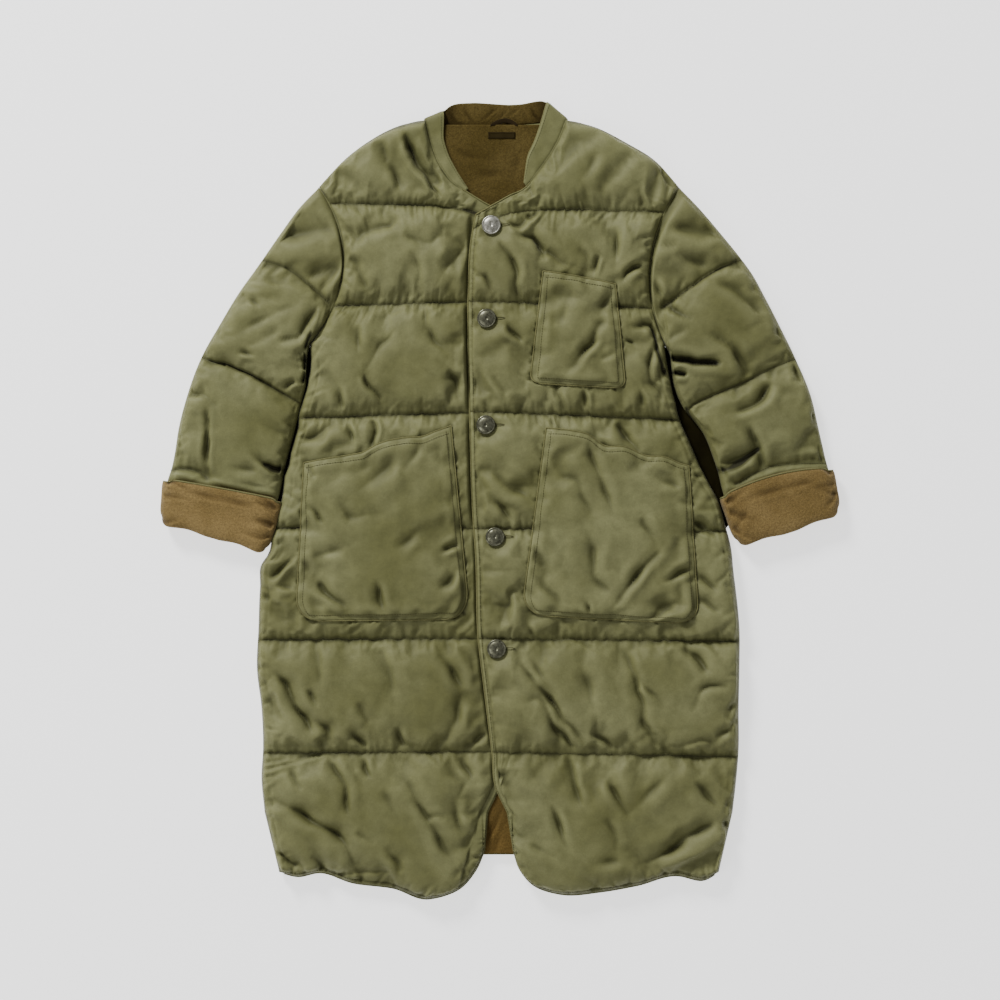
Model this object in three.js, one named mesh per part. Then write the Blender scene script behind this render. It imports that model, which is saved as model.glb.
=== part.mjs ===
import * as THREE from 'three';

// A quilted work coat laid flat on its back, front up, in millimetres.
// X runs from the wearer's right sleeve to the left one, Y from the hem to the collar, and Z up out of the
// front. The origin is on the surface that the coat lies on, at the middle of its outline.

// Driving dimensions
const SEAM_GAP = 0.3;
const ROUND_OFF = 1e-9;
const ARMHOLE_GAP = 0.45;
const BACK_WALL = 7;
const LINING_WALL = 1.4;
const LINING_LIFT = BACK_WALL + SEAM_GAP;
const FRONT_INSIDE = 9.2;
const FRONT_WALL = 4;
const CROWN_RISE = 8;
const UNDERLAP_TOP = 13.4;
const OVERLAP_INSIDE = UNDERLAP_TOP + 0.4;
const OVERLAP_PUFF = 0.65;
const FRONT_EDGE_PUFF = 0.6;
const FRONT_EDGE_START_S = 0.9;
const LAP_ROOM = 2;
const RAMP_ROOM = 15;
const LEAST_LAP = 8;
const LAP_FADE_START = -40;
const LAP_FADE_SPAN = 14;
const SIDE_SEAM_HEIGHT = 7.9;
const SIDE_ROUNDING = 12;
const SIDE_FOLD_DEPTH = 4.5;
const KEEP_AHEAD_SHARE = 0.6;
const HEM_RISE_AT_BACK = 22;
const SLEEVE_WALL = 4.5;
const SLEEVE_INSIDE = 8.2;
const SLEEVE_CROWN_RISE = 9;
const SLEEVE_EDGE_HEIGHT = 6.5;
const SLEEVE_ROUNDING = 14;
const CUFF_BAND = 6.3;
const CUFF_ROOM = 0.3;
const SLEEVE_END_IN_CUFF = 0.93;
const COLLAR_WALL = 3.5;
const COLLAR_EDGE_SHARE = 0.8;
const COLLAR_UPPER = 12;
const COLLAR_LOWER = 2.2;
const POCKET_WALL = 2.5;
const POCKET_PUFF = 4;
const POCKET_CORNER = 26;
const POCKET_REACH = 16;
const POCKET_MOUTH_V = 1.05;
const POCKET_CORNER_SHARE = 0.9;
const BUTTON_RADIUS = 12.4;
const BUTTON_SIDES = 18;
const ARMPIT_Y = 200;
const SHOULDER_TIP_Y = 406;

const OLIVE = 0x76754f;
const BROWN = 0x7d6340;
const DARK_BROWN = 0x54421f;
const STEEL = 0x6d6d5e;

// The armhole seam bows from the shoulder tip into the body and back out to the armpit.
const ARMHOLES = {
  right: { tip: -236, armpit: -248, bow: 38 },
  left: { tip: 232, armpit: 214, bow: -28.5 },
};

// Half outlines of the body below the armpits: the side edges, by height.
const SIDES = [
  { y: -482, right: -297, left: 291 },
  { y: -454, right: -304, left: 297 },
  { y: -407, right: -307, left: 302 },
  { y: -363, right: -311, left: 307 },
  { y: -324, right: -309, left: 310 },
  { y: -272, right: -311, left: 310 },
  { y: -220, right: -317, left: 311 },
  { y: -168, right: -315, left: 311 },
  { y: -116, right: -313, left: 306 },
  { y: -86, right: -310, left: 302 },
  { y: -70, right: -298, left: 300 },
  { y: -40, right: -284, left: 291 },
  { y: -1, right: -277, left: 281 },
  { y: 31, right: -273, left: 265 },
  { y: 77, right: -262, left: 245 },
  { y: 126, right: -255, left: 224 },
  { y: 155, right: -247, left: 219 },
  { y: 200, right: -248, left: 214 },
];

// The front edges: the left front's edge lies on the right front, whose own edge is hidden down to the slit.
const FRONT_EDGES = {
  left: [
    { y: -458, x: 17 },
    { y: -419, x: 14 },
    { y: -393, x: 2 },
    { y: -378, x: -5 },
    { y: -329, x: -11 },
    { y: -248, x: -21 },
    { y: -179, x: -29 },
    { y: -79, x: -32 },
    { y: -1, x: -37 },
    { y: 113, x: -40 },
    { y: 259, x: -42 },
    { y: 337, x: -38 },
    { y: 369, x: -32 },
  ],
  right: [
    { y: -458, x: -21 },
    { y: -419, x: -21 },
    { y: -385, x: -6 },
    { y: -346, x: 10 },
    { y: -313, x: 15 },
    { y: -183, x: 15 },
    { y: 367, x: 13 },
  ],
};

// Both fronts' cut edges, from the side (s 0) to the front edge (s 1).
const HEMS = {
  right: [
    { s: 0, x: -288, y: -485 },
    { s: 0.1, x: -263, y: -491 },
    { s: 0.2, x: -237, y: -486 },
    { s: 0.4, x: -188, y: -500 },
    { s: 0.54, x: -140, y: -506 },
    { s: 0.7, x: -92, y: -520 },
    { s: 0.8, x: -55, y: -508 },
    { s: 0.9, x: -33, y: -484 },
    { s: 1, x: -21, y: -458 },
  ],
  left: [
    { s: 0, x: 284, y: -485 },
    { s: 0.1, x: 262, y: -496 },
    { s: 0.2, x: 231, y: -490 },
    { s: 0.4, x: 176, y: -503 },
    { s: 0.54, x: 130, y: -511 },
    { s: 0.7, x: 78, y: -514 },
    { s: 0.8, x: 46, y: -504 },
    { s: 0.9, x: 26, y: -483 },
    { s: 1, x: 17, y: -458 },
  ],
};
const NECK_POINT_S = 0.4;
const TOPS = {
  right: [
    { s: 0, x: -236, y: 406 },
    { s: 0.1, x: -202, y: 442 },
    { s: 0.2, x: -167, y: 468 },
    { s: 0.3, x: -133, y: 485 },
    { s: NECK_POINT_S, x: -98, y: 493 },
    { s: 0.47, x: -91, y: 464 },
    { s: 0.54, x: -81, y: 436 },
    { s: 0.62, x: -64, y: 412 },
    { s: 0.7, x: -45, y: 400 },
    { s: 0.8, x: -29, y: 390 },
    { s: 1, x: 13, y: 366 },
  ],
  left: [
    { s: 0, x: 232, y: 406 },
    { s: 0.1, x: 201, y: 440 },
    { s: 0.2, x: 166, y: 462 },
    { s: 0.3, x: 125, y: 483 },
    { s: NECK_POINT_S, x: 86, y: 493 },
    { s: 0.47, x: 76, y: 467 },
    { s: 0.54, x: 64, y: 446 },
    { s: 0.62, x: 50, y: 427 },
    { s: 0.7, x: 34, y: 406 },
    { s: 0.8, x: 12, y: 394 },
    { s: 1, x: -32, y: 369 },
  ],
};
const BACK_TOP = [
  { x: -236, y: 406 },
  { x: -202, y: 442 },
  { x: -167, y: 468 },
  { x: -133, y: 485 },
  { x: -98, y: 493 },
  { x: -73, y: 484.5 },
  { x: -38, y: 485 },
  { x: 6, y: 486 },
  { x: 51, y: 489 },
  { x: 86, y: 493 },
  { x: 125, y: 483 },
  { x: 166, y: 462 },
  { x: 201, y: 440 },
  { x: 232, y: 406 },
];

// Rows across both fronts and the back, from hem to shoulder. right, middle and left are a row's heights at
// the wearer's right side, at the front edges and at the wearer's left side. drop is how far it falls at the
// front edge to pass below the neckline. puff is 0 on a stitched line and 1 on a crown. hem and top blend a
// row into the hem's or the shoulder's outline.
const ROWS = [
  { right: -407, middle: -407, left: -407, drop: 0, puff: 0.1, hem: 1, top: 0 },
  { right: -407, middle: -407, left: -407, drop: 0, puff: 0.75, hem: 0.85, top: 0 },
  { right: -407, middle: -407, left: -407, drop: 0, puff: 1, hem: 0.5, top: 0 },
  { right: -407, middle: -407, left: -407, drop: 0, puff: 1, hem: 0, top: 0 },
  { right: -352, middle: -350, left: -356, drop: 0, puff: 0.75, hem: 0, top: 0 },
  { right: -330, middle: -328, left: -335, drop: 0, puff: 0, hem: 0, top: 0 },
  { right: -313, middle: -311, left: -318, drop: 0, puff: 0.75, hem: 0, top: 0 },
  { right: -257, middle: -255, left: -260, drop: 0, puff: 1, hem: 0, top: 0 },
  { right: -200, middle: -198, left: -202, drop: 0, puff: 0.75, hem: 0, top: 0 },
  { right: -183, middle: -181, left: -185, drop: 0, puff: 0, hem: 0, top: 0 },
  { right: -167, middle: -165, left: -169, drop: 0, puff: 0.75, hem: 0, top: 0 },
  { right: -112, middle: -110, left: -114, drop: 0, puff: 1, hem: 0, top: 0 },
  { right: -54, middle: -54, left: -58, drop: 0, puff: 0.75, hem: 0, top: 0 },
  { right: -38, middle: -38, left: -42, drop: 0, puff: 0, hem: 0, top: 0 },
  { right: -22, middle: -22, left: -26, drop: 0, puff: 0.75, hem: 0, top: 0 },
  { right: 36, middle: 38, left: 31, drop: 0, puff: 1, hem: 0, top: 0 },
  { right: 89, middle: 98, left: 86, drop: 0, puff: 0.75, hem: 0, top: 0 },
  { right: 105, middle: 114, left: 103, drop: 0, puff: 0, hem: 0, top: 0 },
  { right: 121, middle: 130, left: 119, drop: 0, puff: 0.75, hem: 0, top: 0 },
  { right: 155, middle: 166, left: 155, drop: 0, puff: 1, hem: 0, top: 0 },
  { right: 200, middle: 208, left: 200, drop: 0, puff: 1, hem: 0, top: 0 },
  { right: 236, middle: 242, left: 233, drop: 0, puff: 0.75, hem: 0, top: 0 },
  { right: 251, middle: 257, left: 248, drop: 0, puff: 0, hem: 0, top: 0 },
  { right: 267, middle: 273, left: 264, drop: 0, puff: 0.75, hem: 0, top: 0 },
  { right: 318, middle: 318, left: 311, drop: 8, puff: 1, hem: 0, top: 0 },
  { right: 368, middle: 364, left: 357, drop: 24, puff: 0.75, hem: 0, top: 0 },
  { right: 384, middle: 380, left: 373, drop: 30, puff: 0, hem: 0, top: 0 },
  { right: 384, middle: 380, left: 373, drop: 30, puff: 0.75, hem: 0, top: 0.2 },
  { right: 384, middle: 380, left: 373, drop: 30, puff: 1, hem: 0, top: 0.55 },
  { right: 384, middle: 380, left: 373, drop: 30, puff: 0.7, hem: 0, top: 0.88 },
  { right: 384, middle: 380, left: 373, drop: 30, puff: 0.1, hem: 0, top: 1 },
];
const COLUMNS = [0, 0.04, 0.1, 0.2, 0.3, 0.4, 0.47, 0.54, 0.62, 0.7, 0.75, 0.8, 0.86, 0.93, 1];
const RAMP_S = 0.75;
const LAP_S = 0.8;
const NECK_DROP_POWER = 6;

// The largest folds in the fronts: each trough's middle, its length, its turn from X, half width and depth.
const FOLDS = [
  { x: -107, y: 425, length: 90, turn: -62, width: 12, depth: 6 },
  { x: -50, y: 375, length: 40, turn: -22, width: 9, depth: 4 },
  { x: -120, y: 335, length: 70, turn: -35, width: 14, depth: 3 },
  { x: 45, y: 335, length: 85, turn: -52, width: 11, depth: 4.5 },
  { x: 125, y: 320, length: 70, turn: 38, width: 13, depth: 3.5 },
  { x: -150, y: 165, length: 60, turn: -75, width: 12, depth: 3 },
  { x: -90, y: 150, length: 60, turn: -68, width: 12, depth: 3 },
  { x: 175, y: 80, length: 60, turn: -45, width: 12, depth: 4 },
  { x: 205, y: 190, length: 90, turn: -72, width: 11, depth: 4 },
  { x: -215, y: -215, length: 60, turn: -50, width: 13, depth: 3 },
  { x: -90, y: -265, length: 80, turn: -55, width: 13, depth: 3 },
  { x: 90, y: -270, length: 100, turn: -50, width: 13, depth: 4 },
  { x: 200, y: -240, length: 80, turn: -48, width: 13, depth: 3 },
  { x: -200, y: -420, length: 90, turn: -60, width: 14, depth: 3 },
  { x: -110, y: -430, length: 90, turn: -68, width: 14, depth: 3 },
  { x: 90, y: -430, length: 100, turn: -55, width: 14, depth: 4 },
  { x: 190, y: -440, length: 80, turn: -50, width: 14, depth: 3 },
];

// Sleeve sections from the armhole to the end inside the cuff. outer and inner are the section's ends in
// plan, bow is how far its middle stands off the straight line, puff is 0 on a stitched line, and lift raises
// its underside.
const SLEEVES = {
  right: [
    { outer: [-236, 406], inner: [-248, 200], bow: [38, 0], puff: 0, lift: 0 },
    { outer: [-261, 380], inner: [-251, 197], bow: [38, 7], puff: 0.8, lift: 0 },
    { outer: [-286, 346], inner: [-252, 192], bow: [37, 14], puff: 0.8, lift: 0 },
    { outer: [-311, 310], inner: [-253, 188], bow: [36, 19], puff: 0, lift: 0 },
    { outer: [-321, 296], inner: [-253, 180], bow: [29, 16], puff: 0.75, lift: 0 },
    { outer: [-344, 263], inner: [-252.5, 165], bow: [20, 12], puff: 1, lift: 0 },
    { outer: [-366, 226], inner: [-253, 148], bow: [11, 9], puff: 1, lift: 0 },
    { outer: [-382, 199], inner: [-256, 134], bow: [4, 6], puff: 0.75, lift: 0 },
    { outer: [-389, 185], inner: [-259, 124], bow: [0, 5], puff: 0, lift: 0 },
    { outer: [-396, 168], inner: [-263, 110], bow: [0, 5], puff: 0.75, lift: 0 },
    { outer: [-409, 131], inner: [-270, 79], bow: [0, 4], puff: 1, lift: 0 },
    { outer: [-419, 92], inner: [-278, 50], bow: [0, 3], puff: 1, lift: 0 },
    { outer: [-424, 60], inner: [-283, 26], bow: [0, 1], puff: 0.6, lift: 0 },
    { outer: [-428, 40], inner: [-286, 11], bow: [0, 0], puff: 0.1, lift: 1.5 },
    { outer: [-432, 26], inner: [-289, 0], bow: [0, 1], puff: 0, lift: CUFF_BAND },
    { outer: [-437, -33], inner: [-308, -70], bow: [0, 2], puff: 0, lift: CUFF_BAND },
  ],
  left: [
    { outer: [232, 406], inner: [214, 200], bow: [-28.5, 0], puff: 0, lift: 0 },
    { outer: [259, 378], inner: [216, 196], bow: [-31, 5], puff: 0.8, lift: 0 },
    { outer: [288, 344], inner: [218, 192], bow: [-30, 12], puff: 0.8, lift: 0 },
    { outer: [317, 308], inner: [220, 188], bow: [-27, 16], puff: 0, lift: 0 },
    { outer: [326, 294], inner: [221, 180], bow: [-22, 14], puff: 0.75, lift: 0 },
    { outer: [345, 261], inner: [223, 165], bow: [-15, 11], puff: 1, lift: 0 },
    { outer: [365, 222], inner: [226, 146], bow: [-8, 8], puff: 1, lift: 0 },
    { outer: [378, 198], inner: [230, 130], bow: [-3, 5], puff: 0.75, lift: 0 },
    { outer: [384, 183], inner: [237, 120], bow: [0, 4], puff: 0, lift: 0 },
    { outer: [391, 168], inner: [247, 106], bow: [0, 4], puff: 0.75, lift: 0 },
    { outer: [405, 131], inner: [265, 83], bow: [0, 4], puff: 1, lift: 0 },
    { outer: [414, 92], inner: [276, 56], bow: [0, 5], puff: 1, lift: 0 },
    { outer: [420, 66], inner: [284, 31], bow: [0, 6], puff: 0.6, lift: 0 },
    { outer: [423, 52], inner: [287, 17], bow: [0, 8], puff: 0.1, lift: 1.5 },
    { outer: [426, 39], inner: [290, 5], bow: [0, 9], puff: 0, lift: CUFF_BAND },
    { outer: [437, -20], inner: [312, -60], bow: [0, -2], puff: 0, lift: CUFF_BAND },
  ],
};
const SLEEVE_FOLDS = {
  right: [
    { x: -378, y: 75, length: 110, turn: -84, width: 9, depth: 5 },
    { x: -225, y: 290, length: 40, turn: 60, width: 9, depth: 4 },
    { x: -330, y: 345, length: 90, turn: 8, width: 12, depth: 3 },
    { x: -305, y: 50, length: 60, turn: -40, width: 10, depth: 5 },
  ],
  left: [
    { x: 255, y: 172, length: 75, turn: -4, width: 8, depth: 6 },
    { x: 305, y: 55, length: 75, turn: 30, width: 10, depth: 6 },
    { x: 330, y: 70, length: 50, turn: -62, width: 9, depth: 5 },
    { x: 305, y: 110, length: 60, turn: 40, width: 10, depth: 4 },
  ],
};

// Patch pockets: the four corners in plan, with round bottom corners.
const POCKETS = [
  {
    name: 'pocket_chest',
    on: 'left',
    topLeft: [55, 295],
    topRight: [149, 278],
    bottomRight: [162, 143],
    bottomLeft: [38, 150],
    corner: 12,
  },
  {
    name: 'pocket_lower_right',
    on: 'right',
    topLeft: [-255, 47],
    topRight: [-64, 95],
    bottomRight: [-40, -156],
    bottomLeft: [-265, -158],
    corner: POCKET_CORNER,
  },
  {
    name: 'pocket_lower_left',
    on: 'left',
    topLeft: [59, 90],
    topRight: [244, 43],
    bottomRight: [257, -162],
    bottomLeft: [27, -150],
    corner: POCKET_CORNER,
  },
];
const BUTTONS = [
  { x: -12, y: 355 },
  { x: -18, y: 234 },
  { x: -19, y: 96 },
  { x: -7, y: -49 },
  { x: -5, y: -194 },
];

// The band collar: cross lines from its seam to its free edge, between the front's neck point and its tip.
const COLLAR_FRONTS = {
  right: [
    { s: NECK_POINT_S, free: [-74, 503] },
    { s: 0.47, free: [-75, 468] },
    { s: 0.54, free: [-68, 446] },
    { s: 0.62, free: [-56, 424] },
    { s: 0.7, free: [-42.5, 403] },
  ],
  left: [
    { s: NECK_POINT_S, free: [60, 515] },
    { s: 0.47, free: [52, 487] },
    { s: 0.54, free: [44, 464] },
    { s: 0.62, free: [35, 446] },
    { s: 0.7, free: [30.5, 411] },
  ],
};
const COLLAR_BACK = [
  { seam: [-86, 491], free: [-67, 512] },
  { seam: [-72.5, 485.6], free: [-56, 515] },
  { seam: [-38, 486], free: [-31, 516] },
  { seam: [6, 487], free: [10, 513] },
  { seam: [30, 488.6], free: [28, 514] },
  { seam: [51, 490], free: [47, 518] },
  { seam: [74, 493], free: [56, 518.5] },
];

const lerp = (a, b, t) => a + (b - a) * t;
const clamp = (value, low, high) => Math.min(Math.max(value, low), high);
const between = (p, q, t) => p.map((value, k) => lerp(value, q[k], t));

// A column of a table, read at a place between its rows.
function readTable(table, key, column, at) {
  const upper = table.findIndex((row) => row[key] >= at);
  if (upper <= 0) return (upper === 0 ? table[0] : table[table.length - 1])[column];
  const a = table[upper - 1];
  const b = table[upper];
  return lerp(a[column], b[column], (at - a[key]) / (b[key] - a[key]));
}

function mergeMesh(name, points, faces, material) {
  const geometry = new THREE.BufferGeometry();
  geometry.setAttribute('position', new THREE.Float32BufferAttribute(points.flat(), 3));
  let volume = 0;
  for (const [a, b, c] of faces) {
    const [p, q, r] = [points[a], points[b], points[c]].map((at) => new THREE.Vector3(...at));
    volume += p.dot(q.cross(r)) / 6;
  }
  const outward = volume > 0 ? faces : faces.map(([a, b, c]) => [a, c, b]);
  geometry.setIndex(outward.flat());
  geometry.computeVertexNormals();
  const mesh = new THREE.Mesh(geometry, material);
  mesh.name = name;
  return mesh;
}

// A closed wall between two grids of points. round joins each row's last point to its first, as on a sleeve.
function gridSolid(name, outer, inner, material, round = false) {
  const rows = outer.length;
  const columns = outer[0].length;
  const points = [...outer.flat(), ...inner.flat()];
  const out = (i, j) => i * columns + (j % columns);
  const into = (i, j) => rows * columns + out(i, j);
  const faces = [];
  const quad = (a, b, c, d) => faces.push([a, b, c], [a, c, d]);
  const spans = round ? columns : columns - 1;
  for (let j = 0; j < spans; j++) {
    for (let i = 0; i < rows - 1; i++) {
      quad(out(i, j), out(i, j + 1), out(i + 1, j + 1), out(i + 1, j));
      quad(into(i, j), into(i + 1, j), into(i + 1, j + 1), into(i, j + 1));
    }
    quad(out(0, j), into(0, j), into(0, j + 1), out(0, j + 1));
    quad(out(rows - 1, j), out(rows - 1, j + 1), into(rows - 1, j + 1), into(rows - 1, j));
  }
  if (!round) {
    for (let i = 0; i < rows - 1; i++) {
      quad(out(i, 0), out(i + 1, 0), into(i + 1, 0), into(i, 0));
      quad(out(i, spans), into(i, spans), into(i + 1, spans), out(i + 1, spans));
    }
  }
  return mergeMesh(name, points, faces, material);
}

// A ring whose section is a closed loop, as a cuff is.
function ringSolid(name, loops, material) {
  const rings = loops.length;
  const around = loops[0].length;
  const at = (i, j) => (i % rings) * around + (j % around);
  const faces = [];
  for (let i = 0; i < rings; i++) {
    for (let j = 0; j < around; j++) {
      faces.push([at(i, j), at(i, j + 1), at(i + 1, j + 1)], [at(i, j), at(i + 1, j + 1), at(i + 1, j)]);
    }
  }
  return mergeMesh(name, loops.flat(), faces, material);
}

function cloth(colour) {
  return new THREE.MeshStandardMaterial({ color: colour, roughness: 0.72, metalness: 0 });
}

// How deep the folds press into the cloth at a place in plan.
function foldDepth(folds, x, y) {
  let depth = 0;
  for (const fold of folds) {
    const turn = THREE.MathUtils.degToRad(fold.turn);
    const along = (x - fold.x) * Math.cos(turn) + (y - fold.y) * Math.sin(turn);
    const across = (y - fold.y) * Math.cos(turn) - (x - fold.x) * Math.sin(turn);
    const reach = 1 - clamp(Math.abs(along) / (fold.length / 2), 0, 1) ** 2;
    depth += fold.depth * reach * Math.exp(-((across / fold.width) ** 2));
  }
  return depth;
}

function armholeX(side, y) {
  const { tip, armpit, bow } = ARMHOLES[side];
  const t = (SHOULDER_TIP_Y - y) / (SHOULDER_TIP_Y - ARMPIT_Y);
  return lerp(tip, armpit, t) + bow * 4 * t * (1 - t);
}

const sideX = (side, y) => (y > ARMPIT_Y ? armholeX(side, y) : readTable(SIDES, 'y', side, y));
const frontEdgeX = (side, y) => readTable(FRONT_EDGES[side], 'y', 'x', y);

// How much of the overlap there is at a height: 1 where the left front lies on the right one, 0 in the slit.
function lapShare(y) {
  const overlap = frontEdgeX('right', y) - frontEdgeX('left', y);
  return clamp((overlap - LAP_FADE_START) / LAP_FADE_SPAN, 0, 1);
}

// Where a row meets the edge of the overlap, which is the other front's edge with room to spare.
function lapX(side, y, room) {
  const own = frontEdgeX(side, y);
  if (side === 'right') return Math.min(frontEdgeX('left', y) - room, own - room - LEAST_LAP);
  return Math.max(frontEdgeX('right', y) + room, own + room + LEAST_LAP);
}

// A point of a front in plan: s runs from the side to the front edge along one row.
function frontPlan(side, row, s) {
  const drop = row.drop * s ** NECK_DROP_POWER;
  const sideY = row[side];
  const y = lerp(sideY, row.middle, s) - drop;
  const edgeY = row.middle - row.drop;
  const start = sideX(side, sideY);
  const ramp = lapX(side, edgeY, RAMP_ROOM);
  const lap = lapX(side, edgeY, LAP_ROOM);
  const edge = frontEdgeX(side, edgeY);
  let x = lerp(lap, edge, (s - LAP_S) / (1 - LAP_S));
  if (s <= RAMP_S) x = lerp(start, ramp, s / RAMP_S);
  else if (s <= LAP_S) x = lerp(ramp, lap, (s - RAMP_S) / (LAP_S - RAMP_S));
  const outline = row.hem > 0 ? HEMS[side] : TOPS[side];
  const share = row.hem + row.top;
  return [
    lerp(x, readTable(outline, 's', 'x', s), share),
    lerp(y, readTable(outline, 's', 'y', s), share),
  ];
}

// How far a row has turned from the armhole's upright edge (0) to the side's folded one (1).
function sideShare(side, row) {
  if (row[side] > ARMPIT_Y) return 0;
  return row[side] < ARMPIT_Y ? 1 : 0.5;
}

function frontGrids(side) {
  const outer = [];
  const inner = [];
  for (const row of ROWS) {
    const start = frontPlan(side, row, 0);
    const folded = sideShare(side, row);
    outer.push([]);
    inner.push([]);
    for (const s of COLUMNS) {
      const [x, y] = frontPlan(side, row, s);
      const fromSide = Math.hypot(x - start[0], y - start[1]);
      const lapped = s >= LAP_S ? lapShare(y) : 0;
      const inside = side === 'left' ? lerp(FRONT_INSIDE, OVERLAP_INSIDE, lapped) : FRONT_INSIDE;
      const towardsEdge = clamp((s - FRONT_EDGE_START_S) / (1 - FRONT_EDGE_START_S), 0, 1);
      const edging = lerp(1, FRONT_EDGE_PUFF, towardsEdge);
      const overlapping = side === 'left' ? lerp(1, OVERLAP_PUFF, lapped) : 1;
      const rise = CROWN_RISE * row.puff * edging * overlapping;
      let top = inside + FRONT_WALL + Math.max(rise - foldDepth(FOLDS, x, y) * row.puff, 0);
      if (side === 'right') top = lerp(top, Math.min(top, UNDERLAP_TOP), lapped);
      const rounding = 1 - (1 - clamp(fromSide / SIDE_ROUNDING, 0, 1)) ** 2;
      const edgeTop = lerp(inside + FRONT_WALL, SIDE_SEAM_HEIGHT + 2 * SEAM_GAP, folded);
      top = lerp(edgeTop, top, Math.sqrt(rounding));
      let under = inside;
      let inward = 0;
      if (s === 0) {
        inward = SIDE_FOLD_DEPTH * folded;
        under = lerp(inside, SIDE_SEAM_HEIGHT + SEAM_GAP, folded);
      }
      if (row.top === 1 && s <= NECK_POINT_S) {
        top = SIDE_SEAM_HEIGHT + 2 * SEAM_GAP;
        under = SIDE_SEAM_HEIGHT + SEAM_GAP;
      }
      outer.at(-1).push([x, y, top]);
      inner.at(-1).push([side === 'right' ? x + inward : x - inward, y, under]);
    }
  }
  keepAhead(outer, inner);
  return { outer, inner };
}

// The folded side's inner edge moves in, so the second inner column moves too, to stay ahead of it.
function keepAhead(outer, inner) {
  for (const [i, row] of inner.entries()) {
    const shift = row[0][0] - outer[i][0][0];
    row[1][0] = outer[i][1][0] + shift * KEEP_AHEAD_SHARE;
  }
}

// The height of a triangle at a place in plan, or 0 beside it.
function triangleHeight([a, b, c], x, y) {
  const area = (b[0] - a[0]) * (c[1] - a[1]) - (c[0] - a[0]) * (b[1] - a[1]);
  if (area === 0) return 0;
  const v = ((x - a[0]) * (c[1] - a[1]) - (c[0] - a[0]) * (y - a[1])) / area;
  const w = ((b[0] - a[0]) * (y - a[1]) - (x - a[0]) * (b[1] - a[1])) / area;
  const beside = v < -ROUND_OFF || w < -ROUND_OFF || v + w > 1 + ROUND_OFF;
  return beside ? 0 : a[2] + v * (b[2] - a[2]) + w * (c[2] - a[2]);
}

// The height of a grid's upper side at a place in plan, or 0 beside it.
function heightAt(grid, x, y) {
  let height = 0;
  for (let i = 0; i < grid.length - 1; i++) {
    for (let j = 0; j < grid[i].length - 1; j++) {
      const near = grid[i][j];
      const far = grid[i + 1][j + 1];
      height = Math.max(height, triangleHeight([near, grid[i][j + 1], far], x, y));
      height = Math.max(height, triangleHeight([near, far, grid[i + 1][j]], x, y));
    }
  }
  return height;
}

// The highest point of a grid within a reach of a place in plan.
function highestNear(grid, x, y, reach) {
  const steps = [-1, -0.5, 0, 0.5, 1];
  const heights = steps.flatMap((u) => steps.map((v) => heightAt(grid, x + u * reach, y + v * reach)));
  return Math.max(...heights);
}

// The back lies flat and turns up along both sides to the side seams.
const SIDE_SECTION = [
  { outX: 0, outZ: SIDE_SEAM_HEIGHT, inX: SIDE_FOLD_DEPTH, inZ: SIDE_SEAM_HEIGHT },
  { outX: 0.8, outZ: 3.5, inX: 6.5, inZ: BACK_WALL },
  { outX: 3.5, outZ: 0.8, inX: 8.5, inZ: BACK_WALL },
  { outX: 9, outZ: 0, inX: 11, inZ: BACK_WALL },
];
const ARMHOLE_SECTION = [
  { outX: 0, outZ: 0, inX: 0, inZ: BACK_WALL },
  { outX: 3, outZ: 0, inX: 3, inZ: BACK_WALL },
  { outX: 6, outZ: 0, inX: 6, inZ: BACK_WALL },
  { outX: 9, outZ: 0, inX: 9, inZ: BACK_WALL },
];

function backRow(row) {
  const [rightX, rightY] = frontPlan('right', row, 0);
  const [leftX, leftY] = frontPlan('left', row, 0);
  const count = BACK_TOP.length - 1;
  return BACK_TOP.map((corner, k) => {
    const t = k / count;
    const rise = HEM_RISE_AT_BACK * row.hem ** 2 * (1 - (2 * t - 1) ** 4);
    const base = [lerp(rightX, leftX, t), lerp(rightY, leftY, t) + rise];
    if (row.top === 0) return base;
    const low = ROWS.find((other) => other.top === 0 && other.drop === row.drop);
    const start = [sideX('right', low.right), low.right];
    const end = [sideX('left', low.left), low.left];
    return between(between(start, end, t), [corner.x, corner.y], row.top);
  });
}

function backPanel() {
  const outer = [];
  const inner = [];
  const edge = (plan, row, side, from, to) => {
    const folded = sideShare(side, row);
    const length = Math.hypot(to[0] - from[0], to[1] - from[1]);
    for (const [k, turned] of SIDE_SECTION.entries()) {
      const flat = ARMHOLE_SECTION[k];
      const mixed = {};
      for (const key of Object.keys(flat)) mixed[key] = lerp(flat[key], turned[key], folded);
      plan.push({
        out: [...between(from, to, mixed.outX / length), mixed.outZ],
        into: [...between(from, to, mixed.inX / length), mixed.inZ],
      });
    }
  };
  for (const row of ROWS) {
    const line = backRow(row);
    const last = line.length - 1;
    const start = [];
    const finish = [];
    edge(start, row, 'right', line[0], line[1]);
    edge(finish, row, 'left', line[last], line[last - 1]);
    const middle = line.slice(1, last).map(([x, y]) => ({ out: [x, y, 0], into: [x, y, BACK_WALL] }));
    const all = [...start, ...middle, ...finish.reverse()];
    outer.push(all.map((point) => point.out));
    inner.push(all.map((point) => point.into));
  }
  return gridSolid('back_panel', outer, inner, cloth(OLIVE));
}

// The places along the armhole where the body's rows end, as shares of its length, so that both edges match.
function armholeShares(side) {
  const ends = ROWS.filter((row) => row.top === 0 && row[side] >= ARMPIT_Y).map((row) => row[side]);
  const shares = ends.map((y) => (SHOULDER_TIP_Y - y) / (SHOULDER_TIP_Y - ARMPIT_Y)).reverse();
  return [0, ...shares];
}

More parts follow.
